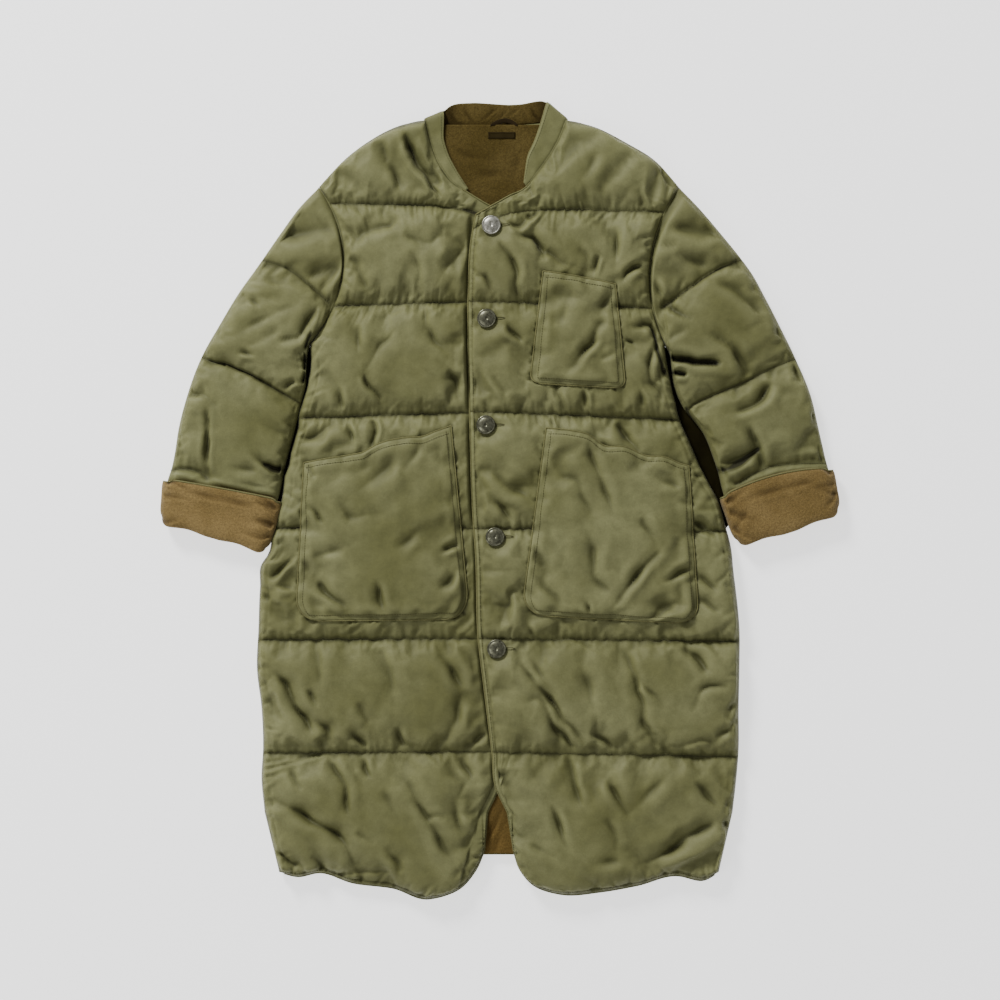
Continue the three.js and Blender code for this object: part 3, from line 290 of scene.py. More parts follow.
# Folds, as the photo shows them: how deep and how wide, in millimetres, then the points that the
# trough runs through, in photo pixels.
FOLDS = {
    "front_right": [
        (7.0, 5.0, (402, 131), (416, 157), (443, 200)), (2.5, 9.0, (388, 163), (397, 176), (407, 190)),
        (2.0, 12.0, (381, 142), (387, 166)), (4.5, 4.0, (448, 204), (462, 209), (478, 215)),
        (2.5, 9.0, (346, 246), (372, 229), (410, 220)), (4.0, 14.0, (404, 237), (424, 244), (448, 238)),
        (3.5, 11.0, (414, 252), (420, 286)), (3.5, 7.0, (468, 243), (445, 275)),
        (3.0, 8.0, (352, 255), (362, 277), (373, 296)), (3.5, 9.0, (398, 329), (380, 350), (366, 373)),
        (4.5, 4.5, (366, 373), (373, 387), (383, 401)), (3.0, 10.0, (360, 326), (358, 356)),
        (3.5, 7.0, (424, 303), (432, 336), (448, 356)), (4.5, 6.0, (447, 368), (455, 381), (461, 400)),
        (3.0, 6.0, (340, 385), (344, 408)), (4.0, 9.0, (338, 421), (318, 436), (298, 450)),
        (5.0, 3.6, (372, 420), (374, 433), (373, 446)), (3.0, 8.0, (345, 424), (352, 441)),
        (4.0, 4.0, (268, 578), (283, 567), (298, 554)), (2.5, 5.0, (277, 583), (296, 588)),
        (6.5, 6.5, (266, 665), (286, 683), (302, 716), (329, 749)), (4.0, 8.0, (308, 686), (320, 706)),
        (2.5, 7.0, (319, 648), (323, 684)), (4.5, 8.0, (311, 718), (325, 728), (333, 747)),
        (3.5, 6.0, (357, 702), (370, 724)), (4.0, 5.0, (354, 730), (368, 750)),
        (2.2, 10.0, (382, 648), (390, 680), (394, 713)), (4.5, 6.0, (440, 653), (452, 675), (463, 691)),
        (3.0, 7.0, (461, 693), (454, 715), (445, 741)), (4.5, 4.5, (468, 748), (479, 738), (492, 731)),
        (3.0, 7.0, (398, 725), (407, 747)), (7.0, 8.0, (269, 796), (314, 819), (350, 850), (356, 868)),
        (4.5, 6.0, (331, 757), (344, 783), (351, 824)), (3.0, 5.0, (365, 757), (372, 777)),
        (4.5, 5.5, (405, 778), (428, 819), (441, 844), (455, 870)), (3.0, 4.5, (426, 818), (446, 818)),
        (2.8, 5.0, (460, 755), (472, 778)), (3.0, 7.0, (450, 795), (463, 834)),
        (4.0, 9.0, (387, 842), (395, 856), (402, 871)), (2.5, 10.0, (384, 786), (400, 822)),
        (3.0, 7.0, (357, 830), (376, 841)), (4.5, 7.0, (272, 848), (289, 859), (304, 871)),
        (4.0, 7.0, (310, 855), (322, 865), (333, 879)), (3.0, 8.0, (290, 770), (303, 789)),
    ],
    "front_left": [
        (2.5, 12.0, (597, 153), (579, 186)), (2.5, 6.0, (638, 188), (643, 209)),
        (5.0, 4.5, (501, 221), (516, 227), (530, 215), (541, 201)),
        (6.5, 7.0, (512, 230), (536, 246), (547, 265)), (4.5, 9.0, (545, 252), (556, 262), (572, 267)),
        (5.0, 5.0, (492, 237), (513, 264), (520, 301)), (3.0, 6.0, (482, 274), (496, 298)),
        (3.5, 15.0, (616, 228), (618, 262)), (2.5, 8.0, (579, 247), (591, 271)),
        (3.0, 6.0, (598, 257), (590, 273)), (4.5, 4.0, (645, 263), (632, 272), (621, 283)),
        (5.0, 4.5, (629, 326), (648, 325), (657, 346)), (4.5, 6.0, (650, 346), (652, 377), (668, 399)),
        (3.5, 4.0, (624, 341), (633, 345)), (4.0, 4.5, (509, 322), (515, 333), (523, 342)),
        (3.0, 9.0, (493, 375), (508, 396)), (2.5, 7.0, (560, 391), (566, 410)),
        (3.0, 6.0, (584, 391), (588, 411)), (2.5, 6.0, (640, 388), (643, 408)),
        (6.0, 8.0, (611, 423), (626, 438), (642, 454)), (3.5, 4.5, (552, 418), (553, 427)),
        (4.0, 7.0, (492, 471), (510, 486), (528, 499)), (4.5, 9.0, (489, 495), (503, 508), (513, 527)),
        (4.0, 8.0, (517, 585), (507, 606), (501, 630)), (3.0, 8.0, (528, 622), (536, 639)),
        (4.5, 3.5, (694, 520), (716, 537)), (3.5, 4.0, (696, 573), (715, 590)),
        (3.5, 4.0, (701, 599), (720, 611)), (5.5, 5.5, (513, 656), (543, 690), (573, 727), (588, 746)),
        (5.5, 7.0, (523, 702), (539, 699), (553, 724), (561, 750)), (3.5, 6.0, (529, 656), (559, 698)),
        (3.5, 15.0, (580, 656), (596, 713)), (4.0, 6.0, (621, 646), (636, 679), (646, 732)),
        (3.5, 5.0, (640, 677), (667, 708)), (4.5, 7.0, (682, 649), (709, 669)),
        (3.2, 5.0, (731, 689), (716, 684), (704, 689), (690, 712)),
        (4.0, 5.0, (590, 729), (604, 738), (614, 752)), (3.0, 5.0, (558, 728), (574, 752)),
        (2.6, 6.0, (640, 716), (652, 734), (654, 752)), (2.4, 4.5, (676, 744), (692, 740), (712, 742)),
        (2.2, 4.5, (712, 736), (726, 731), (736, 733)), (3.5, 5.0, (569, 758), (573, 783), (585, 806)),
        (4.5, 5.0, (606, 776), (617, 796), (630, 815)), (3.5, 9.0, (672, 768), (650, 789), (629, 811)),
        (3.0, 8.0, (607, 814), (618, 850)), (4.0, 4.5, (552, 800), (562, 824), (572, 848)),
        (4.0, 7.0, (693, 782), (706, 797), (720, 811)), (7.5, 8.0, (648, 861), (682, 840), (717, 819)),
        (4.0, 6.0, (724, 819), (731, 834)), (3.0, 4.5, (497, 766), (508, 787)),
        (3.0, 9.0, (530, 840), (560, 856)), (3.0, 9.0, (590, 862), (625, 858)),
    ],
    "pocket_lower_right": [
        (3.0, 13.0, (398, 455), (380, 474), (358, 494)), (3.0, 10.0, (334, 497), (353, 516), (382, 513)),
        (2.0, 9.0, (419, 443), (405, 471)), (2.5, 9.0, (309, 557), (346, 549)),
        (3.5, 3.6, (298, 556), (311, 575)), (5.0, 5.0, (317, 580), (330, 594), (347, 606)),
        (4.0, 4.5, (379, 578), (382, 598), (389, 612)), (4.5, 3.5, (443, 552), (455, 546), (468, 541)),
        (3.0, 5.0, (460, 565), (451, 580), (438, 592)), (2.0, 10.0, (422, 532), (397, 550)),
        (3.5, 3.6, (305, 502), (314, 512), (324, 524)), (2.5, 5.0, (308, 466), (316, 478)),
    ],
    "pocket_lower_left": [
        (4.0, 7.0, (586, 438), (597, 468), (614, 520)),
        (4.0, 9.0, (553, 477), (573, 480), (587, 503), (594, 518)),
        (4.0, 8.0, (585, 526), (593, 556), (594, 576), (618, 596)),
        (4.5, 4.5, (661, 546), (637, 574), (613, 604)), (4.0, 4.0, (694, 567), (680, 574), (665, 585)),
        (3.5, 9.0, (641, 516), (656, 549)), (2.5, 9.0, (653, 475), (678, 490)),
        (4.0, 3.6, (528, 546), (535, 555), (543, 567)), (2.5, 8.0, (530, 563), (543, 582), (560, 604)),
        (3.0, 4.5, (588, 600), (592, 615)), (4.0, 7.0, (644, 621), (660, 610), (675, 600)),
    ],
    "pocket_chest": [
        (4.5, 4.5, (604, 321), (581, 357), (568, 372)), (3.0, 4.5, (614, 290), (602, 310)),
        (2.0, 10.0, (570, 285), (560, 330)), (2.5, 6.0, (600, 360), (618, 355)),
    ],
    "sleeve_right": [
        (2.5, 10.0, (277, 237), (310, 231), (341, 226)), (3.0, 8.0, (303, 281), (322, 272), (339, 264)),
        (4.0, 5.0, (338, 267), (330, 278), (319, 293)),
        (5.0, 5.0, (320, 304), (308, 320), (299, 337), (277, 342)),
        (2.0, 5.0, (232, 340), (262, 322), (296, 306)), (1.8, 5.0, (240, 352), (262, 340), (284, 328)),
        (1.8, 6.0, (250, 300), (262, 310)), (3.0, 8.0, (240, 352), (256, 356)),
        (3.0, 5.0, (282, 388), (297, 383)), (5.5, 3.0, (211, 405), (209, 440), (208, 480)),
        (4.5, 7.0, (187, 398), (205, 395), (220, 409)), (3.5, 7.0, (252, 452), (268, 468)),
        (5.0, 8.0, (266, 462), (277, 469), (288, 466)), (2.5, 10.0, (228, 468), (260, 471)),
    ],
    "sleeve_left": [
        (2.5, 9.0, (664, 226), (690, 231), (718, 231)), (2.2, 8.0, (654, 246), (681, 248)),
        (3.0, 7.0, (676, 252), (691, 262), (708, 269)), (3.0, 7.0, (655, 280), (663, 299)),
        (5.0, 4.0, (665, 304), (680, 316), (695, 323)), (4.5, 5.0, (709, 331), (735, 353), (750, 380)),
        (2.5, 7.0, (712, 280), (743, 297), (768, 330)), (8.0, 5.0, (664, 359), (690, 362), (724, 366)),
        (6.0, 4.0, (668, 373), (690, 374)), (3.0, 8.0, (667, 340), (690, 331)),
        (6.0, 6.0, (771, 382), (757, 403), (735, 412)), (5.0, 7.0, (758, 449), (742, 457), (722, 466)),
        (4.5, 4.5, (747, 426), (758, 448), (765, 476)), (3.0, 6.0, (795, 364), (801, 386)),
        (2.5, 9.0, (808, 413), (820, 421)), (4.0, 5.0, (806, 465), (828, 460)),
    ],
}

# How the folds are pressed: each trough has a long slope on its upper side, and a short one up to a ridge.
UPPER_SIDE = (-0.45, 0.89)
UPPER_SLOPE = 1.15
LOWER_SLOPE = 0.65
UPPER_RIDGE = 0.2
LOWER_RIDGE = 0.5
FOLD_WIDTH = 1.25
FOLD_DEPTH = 1.35
FOLD_SLIMNESS = 0.17
FOLD_SHARPNESS = 1.3
FOLD_WANDER = 2.0
CREASE_WIDTH = 0.5
CREASE_DEPTH = 0.2
# The share of a fold that is there before the cloth settles, and the share that is pressed in afterwards.
SETTLED_SHARE = 0.55
PRESSED_SHARE = 0.7
SWELL = 1.4
FOLDS_FROM_SEAM = 1.6
SEAT_SOFTNESS = 1.3
GATHERS = 9
GATHER_DEPTH = 0.9
GATHER_RADIUS = 19.0
LEVEL_FROM = 23.0
LEVEL_ROOM = 11.0
PRESSED_BY_POCKET = 5.0
SIDE_SEAM_INSET = 11.0
EDGE_STITCH_INSET = 6.5
HEM_STITCH_INSET = 5.5
GROOVE_WIDTH = 1.6
SHOULDER_ROUNDING = 10.0
HEM_ROUNDING = 4.0
EDGE_ROUNDING = 3.0

# Short puckers that run off each kind of seam: how far apart, how long, how wide, how deep, and their slant.
PUCKERS = {
    "quilting line": (9, (6, 22), (1.5, 3.2), (0.9, 2.8), 26),
    "side seam": (12, (14, 34), (1.8, 4.2), (0.8, 3.0), 32),
    "front edge": (7, (6, 12), (1.3, 2.2), (1.2, 2.4), 22),
    "hem": (10, (10, 26), (1.8, 3.6), (1.6, 3.8), 26),
    "round a pocket": (12, (6, 16), (2.0, 3.4), (1.2, 2.8), 30),
    "sleeve line": (9, (6, 20), (1.5, 3.2), (0.9, 2.8), 24),
    "sleeve edge": (15, (10, 26), (1.8, 3.4), (0.8, 2.4), 30),
    "pocket edge": (9, (6, 20), (1.8, 3.2), (1.0, 2.6), 26),
    "pocket mouth": (10, (6, 16), (1.8, 3.0), (0.5, 1.4), 26),
}


def from_photo(points):
    """Photo pixels to millimetres in plan."""
    spots = np.array(points, float)
    return np.stack([(spots[:, 0] - PHOTO_MIDDLE_X), (PHOTO_MIDDLE_Y - spots[:, 1])], axis=1) * PHOTO_PIXEL


def smooth(places, values, at):
    """A table's column, read on a smooth curve through its rows."""
    slopes = np.gradient(values, places)
    k = np.clip(np.searchsorted(places, at) - 1, 0, len(places) - 2)
    span = places[k + 1] - places[k]
    t = np.clip((at - places[k]) / span, 0, 1)
    rise = t * t * (3 - 2 * t)
    start = t * (1 - t) ** 2
    finish = t * t * (t - 1)
    return values[k] * (1 - rise) + values[k + 1] * rise + span * (slopes[k] * start + slopes[k + 1] * finish)


def lerp(a, b, t):
    """The value at a share t of the way from a to b."""
    return a + (b - a) * t


def ease(t):
    """A share from 0 to 1 that starts and stops softly."""
    t = np.clip(t, 0, 1)
    return t * t * (3 - 2 * t)


def bell(distance, width):
    """1 at no distance, and next to nothing at twice the width."""
    return np.exp(-((distance / width) ** 2))


def rounded(distance, radius):
    """How high a quarter round stands at a distance from its edge, from 0 to 1."""
    return np.sqrt(1 - (1 - np.clip(distance / radius, 0, 1)) ** 2)


def run_along(points):
    """How far along a path each of its points lies."""
    return np.concatenate([[0], np.cumsum(np.hypot(*(points[1:] - points[:-1]).T))])


def puffed(distance, reach=CROWN_REACH):
    """How full the padding stands at a distance from a stitched line."""
    return 1 - np.exp(-np.abs(distance) / reach)


def under_ceiling(height, start, room):
    """Heights that level off softly above a start, never more than a room over it."""
    return np.where(height > start, start + room * np.tanh((height - start) / room), height)


def blur(field, times):
    """A field smoothed over its grid neighbours."""
    for _ in range(times):
        padded = np.pad(field, 1, mode="edge")
        field = (padded[:-2, 1:-1] + padded[2:, 1:-1] + padded[1:-1, :-2] + padded[1:-1, 2:] + 4 * field) / 8
    return field


def press_fold(height, x, y, points, width, depth, fade):
    """Presses one trough into a field of heights, strongest at its middle or, with "start", at its start."""
    around = 6 * width
    near = (
        (x > points[:, 0].min() - around) & (x < points[:, 0].max() + around)
        & (y > points[:, 1].min() - around) & (y < points[:, 1].max() + around)
    )
    if not near.any():
        return
    px = x[near]
    py = y[near]
    lengths = np.hypot(*(points[1:] - points[:-1]).T)
    total = lengths.sum()
    width = min(width, FOLD_SLIMNESS * total)
    gone = 0.0
    way = points[-1] - points[0]
    turn = 1 if way[0] * UPPER_SIDE[1] - way[1] * UPPER_SIDE[0] > 0 else -1
    nearest = np.full(px.shape, 1e9)
    along = np.zeros(px.shape)
    above = np.zeros(px.shape, bool)
    for a, b, length in zip(points[:-1], points[1:], lengths):
        t = np.clip(((px - a[0]) * (b[0] - a[0]) + (py - a[1]) * (b[1] - a[1])) / length**2, 0, 1)
        distance = np.hypot(px - lerp(a[0], b[0], t), py - lerp(a[1], b[1], t))
        closer = distance < nearest
        left = (b[0] - a[0]) * (py - a[1]) - (b[1] - a[1]) * (px - a[0])
        above = np.where(closer, left * turn > 0, above)
        nearest = np.where(closer, distance, nearest)
        along = np.where(closer, (gone + t * length) / total, along)
        gone += length
    if fade == "both":
        strength = np.sin(np.pi * np.clip(along, 0.02, 0.98)) ** 0.8
        strength *= 1 + 0.3 * np.sin(along * total * 0.13 + points[0, 0])
    else:
        strength = (1 - along) ** 0.9
    reach = np.where(above, UPPER_SLOPE, LOWER_SLOPE) * width
    trough = np.exp(-((nearest / reach) ** FOLD_SHARPNESS))
    crest = np.where(above, 2.4, 1.5) * width
    ridge = np.where(above, UPPER_RIDGE, LOWER_RIDGE) * bell(nearest - crest, 0.9 * width)
    height[near] += depth * strength * (ridge - trough)


def hand_folds(name, x, y):
    """A piece's listed folds as a field of heights."""
    height = np.zeros(x.shape)
    for depth, width, *points in FOLDS[name]:
        path = dense_path(from_photo(points), FOLD_PATH_STEP)
        press_fold(height, x, y, path, width * FOLD_WIDTH, depth * FOLD_DEPTH, "both")
    return height


def sharp_creases(name, x, y):
    """The narrow line at the bottom of each fold, pressed once the cloth has settled."""
    height = np.zeros(x.shape)
    for depth, width, *points in FOLDS[name]:
        path = dense_path(from_photo(points), FOLD_PATH_STEP)
        press_fold(height, x, y, path, CREASE_WIDTH * width, CREASE_DEPTH * depth, "both")
    return height


# The few places where the cloth tucks in so deep that it lies in full shade, pressed in and given near-black
# painted shade: width, then photo points.
DEEP_HOLLOWS = {
    "front_right": [(2.8, (480, 215), (464, 209))],
    "front_left": [(2.6, (652, 330), (658, 352), (668, 378))],
    "sleeve_right": [
        (5.4, (266, 465), (277, 471), (289, 471)), (3.4, (311, 334), (307, 347)),
        (2.8, (306, 355), (305, 369)), (2.6, (308, 372), (304, 381)),
    ],
    "sleeve_left": [
        (4.6, (664, 357), (690, 361), (717, 364)), (2.8, (667, 372), (685, 375)),
        (4.2, (710, 470), (728, 469), (744, 461), (757, 450)),
        (3.0, (686, 408), (694, 424), (704, 444)),
    ],
}
HOLLOW_DEPTH = 5.0
HOLLOW_SHADE = 5.6


def deep_hollows(name, x, y):
    """How deep the tucked places are pressed, and how much painted shade they get."""
    pressed = np.zeros(x.shape)
    shade = np.zeros(x.shape)
    for width, *points in DEEP_HOLLOWS[name]:
        path = dense_path(from_photo(points))
        for k in range(len(path) - 1):
            share = (k + 0.5) / (len(path) - 1)
            half = width * (0.35 + 0.65 * math.sin(math.pi * share))
            away = distance_to_path(x, y, path[k : k + 2])
            pressed = np.maximum(pressed, bell(away, half))
            shade = np.maximum(shade, bell(away, 1.3 * half))
    return HOLLOW_DEPTH * pressed, HOLLOW_SHADE * shade


def press_puckers(height, x, y, path, side_way, kind):
    """Short troughs that start on a seam and run off to one side of it, uneven in place, length and slant."""
    spacing, reach, width, depth, tilt = PUCKERS[kind]
    run = run_along(path)
    at = spacing * RANDOM.uniform(0.2, 0.8)
    while at < run[-1]:
        spot = np.array([np.interp(at, run, path[:, 0]), np.interp(at, run, path[:, 1])])
        ahead = np.array([np.interp(at + 1, run, path[:, 0]), np.interp(at + 1, run, path[:, 1])])
        along = ahead - spot
        size = np.hypot(*along)
        if size > 0:
            along = along / size
            off = np.array([-along[1], along[0]]) * side_way
            lean = math.tan(math.radians(RANDOM.normal(0, tilt)))
            far = spot + (off + along * lean) * RANDOM.uniform(*reach)
            pucker_width = RANDOM.uniform(*width)
            pucker_depth = RANDOM.uniform(*depth)
            press_fold(height, x, y, np.stack([spot, far]), pucker_width, pucker_depth, "start")
        at += spacing * RANDOM.uniform(0.45, 1.6)


def slow_noise(shape, cells):
    """Smooth random values, with about one change of direction to a cell of the grid."""
    across = max(2, cells * shape[1] // shape[0])
    values = RANDOM.normal(size=(cells + 2, across + 2))
    rows = np.linspace(0, cells, shape[0])
    columns = np.linspace(0, across, shape[1])
    i = rows.astype(int)
    j = columns.astype(int)
    v = ease(rows - i)[:, None]
    u = ease(columns - j)[None, :]
    low = lerp(values[i][:, j], values[i][:, j + 1], u)
    high = lerp(values[i + 1][:, j], values[i + 1][:, j + 1], u)
    return lerp(low, high, v)


def uneven(shape, cells):
    """The padding's slow swells, with smaller ones on them."""
    return SWELL * slow_noise(shape, cells) + 0.45 * SWELL * slow_noise(shape, round(2.6 * cells))


def finer(field):
    """A grid of vectors with a row and a column put in between each two."""
    rows, columns, size = field.shape
    full = np.zeros((2 * rows - 1, 2 * columns - 1, size))
    full[::2, ::2] = field
    full[1::2, ::2] = (field[:-1] + field[1:]) / 2
    full[:, 1::2] = (full[:, :-1:2] + full[:, 2::2]) / 2
    return np.dstack([blur(full[:, :, k], 1) for k in range(size)])


def settle(surface, held, room, bending, frames):
    """How far cloth moves that is cut longer than its seams hold it: it puffs up and wrinkles."""
    rows, columns = surface.shape[:2]
    mesh = bpy.data.meshes.new("settling")
    mesh.from_pydata((surface.reshape(-1, 3) * MM).tolist(), [], grid_faces(rows, columns))
    cloth = bpy.data.objects.new("settling", mesh)
    scene = bpy.context.scene
    scene.collection.objects.link(cloth)
    pinned = cloth.vertex_groups.new(name="held")
    pinned.add(np.flatnonzero(held.ravel()).tolist(), 1.0, "REPLACE")
    tight = cloth.vertex_groups.new(name="tight")
    shares = np.clip(0.35 + 0.45 * slow_noise((rows, columns), 14), 0, 1)
    for k, share in enumerate(shares.ravel()):
        tight.add([k], float(share), "REPLACE")
    modifier = cloth.modifiers.new("cloth", "CLOTH")
    settings = modifier.settings
    settings.quality = 4
    settings.mass = 0.3
    settings.tension_stiffness = 40
    settings.compression_stiffness = 40
    settings.shear_stiffness = 5
    settings.bending_stiffness = bending
    settings.vertex_group_mass = "held"
    settings.vertex_group_shrink = "tight"
    settings.shrink_min = -room
    settings.shrink_max = 0.0
    modifier.collision_settings.use_collision = False
    modifier.point_cache.frame_start = 1
    modifier.point_cache.frame_end = frames
    scene.gravity = (0, 0, PUFFING)
    for number in range(1, frames + 1):
        scene.frame_set(number)
    settled = cloth.evaluated_get(bpy.context.evaluated_depsgraph_get()).to_mesh()
    places = np.empty(rows * columns * 3, np.float32)
    settled.vertices.foreach_get("co", places)
    scene.frame_set(1)
    scene.gravity = (0, 0, -9.81)
    bpy.data.objects.remove(cloth)
    return places.reshape(rows, columns, 3) / MM - surface


def crumpled(upper, held, room, most):
    """The upper side after two settlings, one for the wide folds and one for the small wrinkles."""
    surface = upper
    for halvings, share, bending, frames in ((2, 1.0, 4.0, 22), (1, 0.5, 0.8, 12)):
        step = 2**halvings
        moved = settle(surface[::step, ::step], held[::step, ::step], room * share, bending, frames)
        for _ in range(halvings):
            moved = finer(moved)
        moved[:, :, :2] *= SIDEWAYS_SHARE
        moved[:, :, 2] = most * share * np.tanh(moved[:, :, 2] / (most * share))
        moved[held] = 0
        surface = surface + moved
    return surface


def distance_to_path(x, y, points):
    """How far each place in plan lies from a path."""
    nearest = np.full(x.shape, 1e9)
    for a, b in zip(points[:-1], points[1:]):
        square = (b[0] - a[0]) ** 2 + (b[1] - a[1]) ** 2
        t = np.clip(((x - a[0]) * (b[0] - a[0]) + (y - a[1]) * (b[1] - a[1])) / square, 0, 1)
        nearest = np.minimum(nearest, np.hypot(x - lerp(a[0], b[0], t), y - lerp(a[1], b[1], t)))
    return nearest


def dense_path(points, spacing=3.0):
    """A path through given points, on a smooth curve at an even spacing."""
    points = np.asarray(points, float)
    run = run_along(points)
    at = np.linspace(0, run[-1], max(2, round(run[-1] / spacing)))
    return np.stack([smooth(run, points[:, 0], at), smooth(run, points[:, 1], at)], axis=1)


def armhole_x(side, y):
    """Where the armhole seam lies at a height, from shoulder tip to armpit."""
    hole = ARMHOLES[side]
    t = (SHOULDER_TIP_Y - y) / (SHOULDER_TIP_Y - ARMPIT_Y)
    return lerp(hole["tip"], hole["armpit"], t) + hole["bow"] * 4 * t * (1 - t)


def side_x(side, y):
    """Where the side edge lies, up the side seam and then up the armhole."""
    outward = -1 if side == "right" else 1
    edge = smooth(SIDES["y"], SIDES[side], y)
    edge = edge + outward * np.interp(y, TOWARDS_SLEEVE["y"], TOWARDS_SLEEVE[side])
    return np.where(y > ARMPIT_Y, armhole_x(side, y), edge)


def front_edge_x(side, y):
    """Where a front's free edge lies."""
    edge = FRONT_EDGES[side]
    return smooth(edge["y"], edge["x"], y)


def overlap_share(y):
    """1 where the left front lies on the right one, 0 down in the slit."""
    return np.clip((front_edge_x("right", y) - front_edge_x("left", y) + 40) / 14, 0, 1)


def lap_x(side, y, room):
    """Where a front comes clear of the other front's edge, with some room."""
    own = front_edge_x(side, y)
    if side == "right":
        return np.minimum(front_edge_x("left", y) - room, own - room - LEAST_LAP)
    return np.maximum(front_edge_x("right", y) + room, own + room + LEAST_LAP)


def rail_rows():
    """Places along the rails, in a count that the coarse side divides, and which rows are stitched."""
    rows = []
    stitched = []
    for k, length in enumerate(RAIL_SPANS):
        count = COARSE_STEP * round(length / FRONT_SPACING / COARSE_STEP)
        if RAILS["stitched"][k]:
            stitched.append(len(rows))
        rows.extend(k + np.arange(count) / count)
    rows.append(len(RAIL_SPANS))
    return np.array(rows), stitched


def front_plan(side, rail, s):
    """Plan of a front's points: rail counts along the rails, s runs from the side to the front edge."""
    column = {name: np.interp(rail, np.arange(len(values)), values) for name, values in RAILS.items()}
    side_y = column[side]
    y = lerp(side_y, column["middle"], s) - column["drop"] * s**6
    edge_y = column["middle"] - column["drop"]
    start = side_x(side, side_y)
    ramp = lap_x(side, edge_y, RAMP_ROOM)
    lap = lap_x(side, edge_y, LAP_ROOM)
    edge = front_edge_x(side, edge_y)
    on_ramp = lerp(ramp, lap, (s - RAMP_S) / (LAP_S - RAMP_S))
    past_ramp = lerp(lap, edge, (s - LAP_S) / (1 - LAP_S))
    x = np.where(s <= RAMP_S, lerp(start, ramp, s / RAMP_S), np.where(s <= LAP_S, on_ramp, past_ramp))
    hem = HEMS[side]
    hem_x = smooth(hem["s"], hem["x"], s)
    hem_y = smooth(hem["s"], hem["y"], s)
    shoulder = SHOULDERS[side]
    neck = NECKLINES[side]
    on_shoulder = s <= NECK_POINT_S
    top_x = np.where(on_shoulder, smooth(shoulder["s"], shoulder["x"], s), smooth(neck["s"], neck["x"], s))
    top_y = np.where(on_shoulder, smooth(shoulder["s"], shoulder["y"], s), smooth(neck["s"], neck["y"], s))
    x = lerp(lerp(x, hem_x, column["hem"]), top_x, column["top"])
    y = lerp(lerp(y, hem_y, column["hem"]), top_y, column["top"])
    return x, y, side_y


def path_of(x, y, step=1):
    """A row of a grid as a path in plan."""
    return np.stack([x[::step], y[::step]], axis=1)


def inside_share(x, y, pocket):
    """1 well inside a pocket's outline and 0 outside it."""
    outline = pocket_outline(pocket, 40)
    outline = np.concatenate([outline, outline[:1]])
    within = np.full(x.shape, 1e9)
    for a, b in zip(outline[:-1], outline[1:]):
        length = math.hypot(b[0] - a[0], b[1] - a[1])
        within = np.minimum(within, ((b[0] - a[0]) * (y - a[1]) - (b[1] - a[1]) * (x - a[0])) / length)
    return ease(within / POCKET_SHELF)


def seat_buttons(upper):
    """Holds the cloth down under each button and pulls small gathers round it."""
    for k in range(len(BUTTONS["x"])):
        x = upper[:, :, 0] - BUTTONS["x"][k]
        y = upper[:, :, 1] - BUTTONS["y"][k]
        away = np.hypot(x, y)
        turn = np.arctan2(y, x)
        gathers = GATHER_DEPTH * np.sin(GATHERS * turn + 2 * k) * bell(away - GATHER_RADIUS, 7)
        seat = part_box(f"button_{k + 1}")[0].z / MM - 0.3
        slope = np.maximum(away - BUTTON_RADIUS - 1, 0) * 0.6
        above = (upper[:, :, 2] + gathers - seat - slope) / SEAT_SOFTNESS
        upper[:, :, 2] += gathers - SEAT_SOFTNESS * np.logaddexp(0, np.clip(above, -40, 40))


